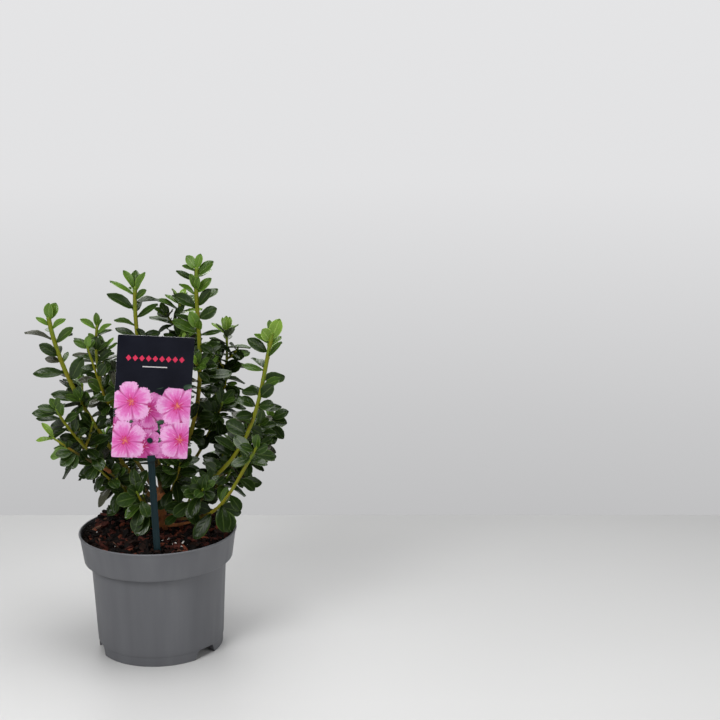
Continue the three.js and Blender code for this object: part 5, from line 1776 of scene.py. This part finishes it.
# %% Bark finish
BARK_BY_AGE = [
    (0.00, (0.200, 0.066, 0.024)), (0.12, (0.360, 0.130, 0.044)), (0.24, (0.115, 0.054, 0.020)),
    (0.36, (0.062, 0.050, 0.013)), (0.48, (0.090, 0.072, 0.009)), (0.60, (0.155, 0.126, 0.004)),
    (0.80, (0.182, 0.176, 0.003)), (0.93, (0.158, 0.186, 0.006)), (1.00, (0.130, 0.210, 0.020))]
GLOSS_BY_AGE = [(0.0, (0.85,) * 3), (0.5, (0.66,) * 3), (1.0, (0.46,) * 3)]
BLUSH = (0.26, 0.11, 0.012)
FLAKE = (0.20, 0.14, 0.10)

bark = Finish("bark", (0.16, 0.07, 0.025), 0.72, 0.25)
age = bark.node("Attribute", "Fac", attribute_name="age")
broken = bark.times(bark.minus(bark.field(260, 4, (1, 1, 0.4)), 0.5), 0.34)
tone = bark.ramp(bark.add(age, broken), BARK_BY_AGE)
blush = bark.times(bark.soft_step(bark.field(95, 3, (1, 1, 0.5)), 0.50, 0.66),
                   bark.soft_step(age, 0.97, 0.85))
tone = bark.mix(bark.times(blush, 0.34), tone, BLUSH)
flakes = bark.times(bark.soft_step(bark.field(700, 4, (1, 1, 0.3)), 0.60, 0.72),
                    bark.soft_step(age, 0.55, 0.15))
bark.colour(bark.mix(bark.times(flakes, 0.5), tone, FLAKE))
bark.put(bark.shader["Roughness"], bark.ramp(age, GLOSS_BY_AGE))
bark.relief(bark.field(1100, 4, (1, 1, 0.3)), 0.25 * MM, 0.6)

# %% Stem and boughs
RING_STEP = 1.6            # millimetres between rings
COLLAR_LENGTH = 7.0        # how far up a bough its thickened foot reaches
COLLAR_RISE = 1.1
STEM_RINGS = 34
STEM_AGE, LOW_BRANCH_AGE = 0.10, 0.11
LOW_BRANCH = np.array([(2, -2, 4), (16, -10, 6), (35, -14, 13)])  # bare, from the stem's foot
LOW_BRANCH_RINGS = 22


def stem_radius(share):
    flare = (STEM_FLARE_RADIUS - STEM_RADIUS) * np.exp(-share * 9)
    return between(STEM_RADIUS, STEM_FORK_RADIUS, share) + flare


def age_along(limb, lengths):
    """Age of the wood so many millimetres up a limb: a low limb stays brown for longer."""
    lowness = np.clip((300 - limb["bend"][2][2]) / 100, 0, 1)
    return np.clip(0.14 + lengths / between(110, 180, lowness), 0, 0.84)


shares = np.linspace(-0.06, 1.06, STEM_RINGS)
stem_points = stem_foot + (stem_top - stem_foot) * shares[:, None]
radii = stem_radius(np.clip(shares, 0, 1)) * np.where(shares > 1, 0.75, 1)
wood = [
    tube(stem_points, radii, 28, bark_relief(0.9, 3.1), np.full(STEM_RINGS, STEM_AGE)),
    tube(bend_at(stem_foot + LOW_BRANCH, np.linspace(0, 1, LOW_BRANCH_RINGS)),
         np.linspace(2.5, 1.3, LOW_BRANCH_RINGS), 12, bark_relief(0.4, 5.3),
         np.full(LOW_BRANCH_RINGS, LOW_BRANCH_AGE))]
for number, limb in enumerate(limbs):
    count = max(6, round(limb["length"] * limb["leafy"] / RING_STEP))
    t = np.linspace(0, limb["leafy"] + 0.01, count)
    lengths = t * limb["length"]
    radii = between(*limb["wood_radii"], t) + COLLAR_RISE * np.exp(-lengths / COLLAR_LENGTH)
    wood.append(tube(bend_at(limb["bend"], t), radii, 14, bark_relief(0.34, number * 7.3),
                     age_along(limb, lengths)))
boughs = joined_tubes("stem_and_boughs", wood, bark)
settle(boughs, "stem_and_boughs", ["stem"] + ["bough_" + limb["name"] for limb in limbs], 60)

# %% [markdown]
# The green shoots go on from the bare boughs without a step. They are smoother, with a slight
# swelling at each leaf. Each ends at its last leaf in a pointed bud, and a twig that found no
# room for a leaf isn't built.

# %% Green shoots and twigs
SHOOT_RING_STEP = 1.9
SWELLING_STEP = 4.4
BUD_RINGS = np.array([0.7, 1.6, 2.6, 3.4])[:, None]    # millimetres past the end
BUD_RADII = np.array([1.12, 1.05, 0.7, 0.2])           # as shares of the tip's radius
TWIG_AGE, TIP_AGE = 0.72, 0.96


def shoot_relief(number):
    """Swellings that wind round the shoot, and a little unevenness."""
    def relief(angle, place):
        swelling = max(0.0, math.sin(place / SWELLING_STEP * math.tau + angle)) ** 6
        return 0.22 * swelling + 0.08 * noise.noise(
            Vector((math.cos(angle) * 1.5, math.sin(angle) * 1.5, place * 0.3 + number)))
    return relief


shoots = []
for number, twig in enumerate(twigs):
    if not twig["last_leaf"]:
        continue
    limb = limbs[twig["limb"]]
    start, first_age, around = 0.0, TWIG_AGE, 7
    if twig["kind"] == "leader":
        start, around = limb["leafy"], 10
        first_age = age_along(limb, start * limb["length"])
    count = max(7, round(twig["length"] * (1 - start) / SHOOT_RING_STEP))
    t = np.linspace(start, twig["last_leaf"], count)
    points = bend_at(twig["bend"], t)
    bud = points[-1] + BUD_RINGS * heading_at(twig["bend"], t[-1])
    evenly = np.linspace(0, 1, count)
    radii = np.concatenate([between(*twig["radii"], evenly), twig["radii"][1] * BUD_RADII])
    ages = np.concatenate([between(first_age, TIP_AGE, evenly), np.ones(len(bud))])
    shoots.append(tube(np.concatenate([points, bud]), radii, around, shoot_relief(number * 3.7), ages))
green_shoots = joined_tubes("green_shoots", shoots, bark)
settle(green_shoots, "green_shoots", (), 60)
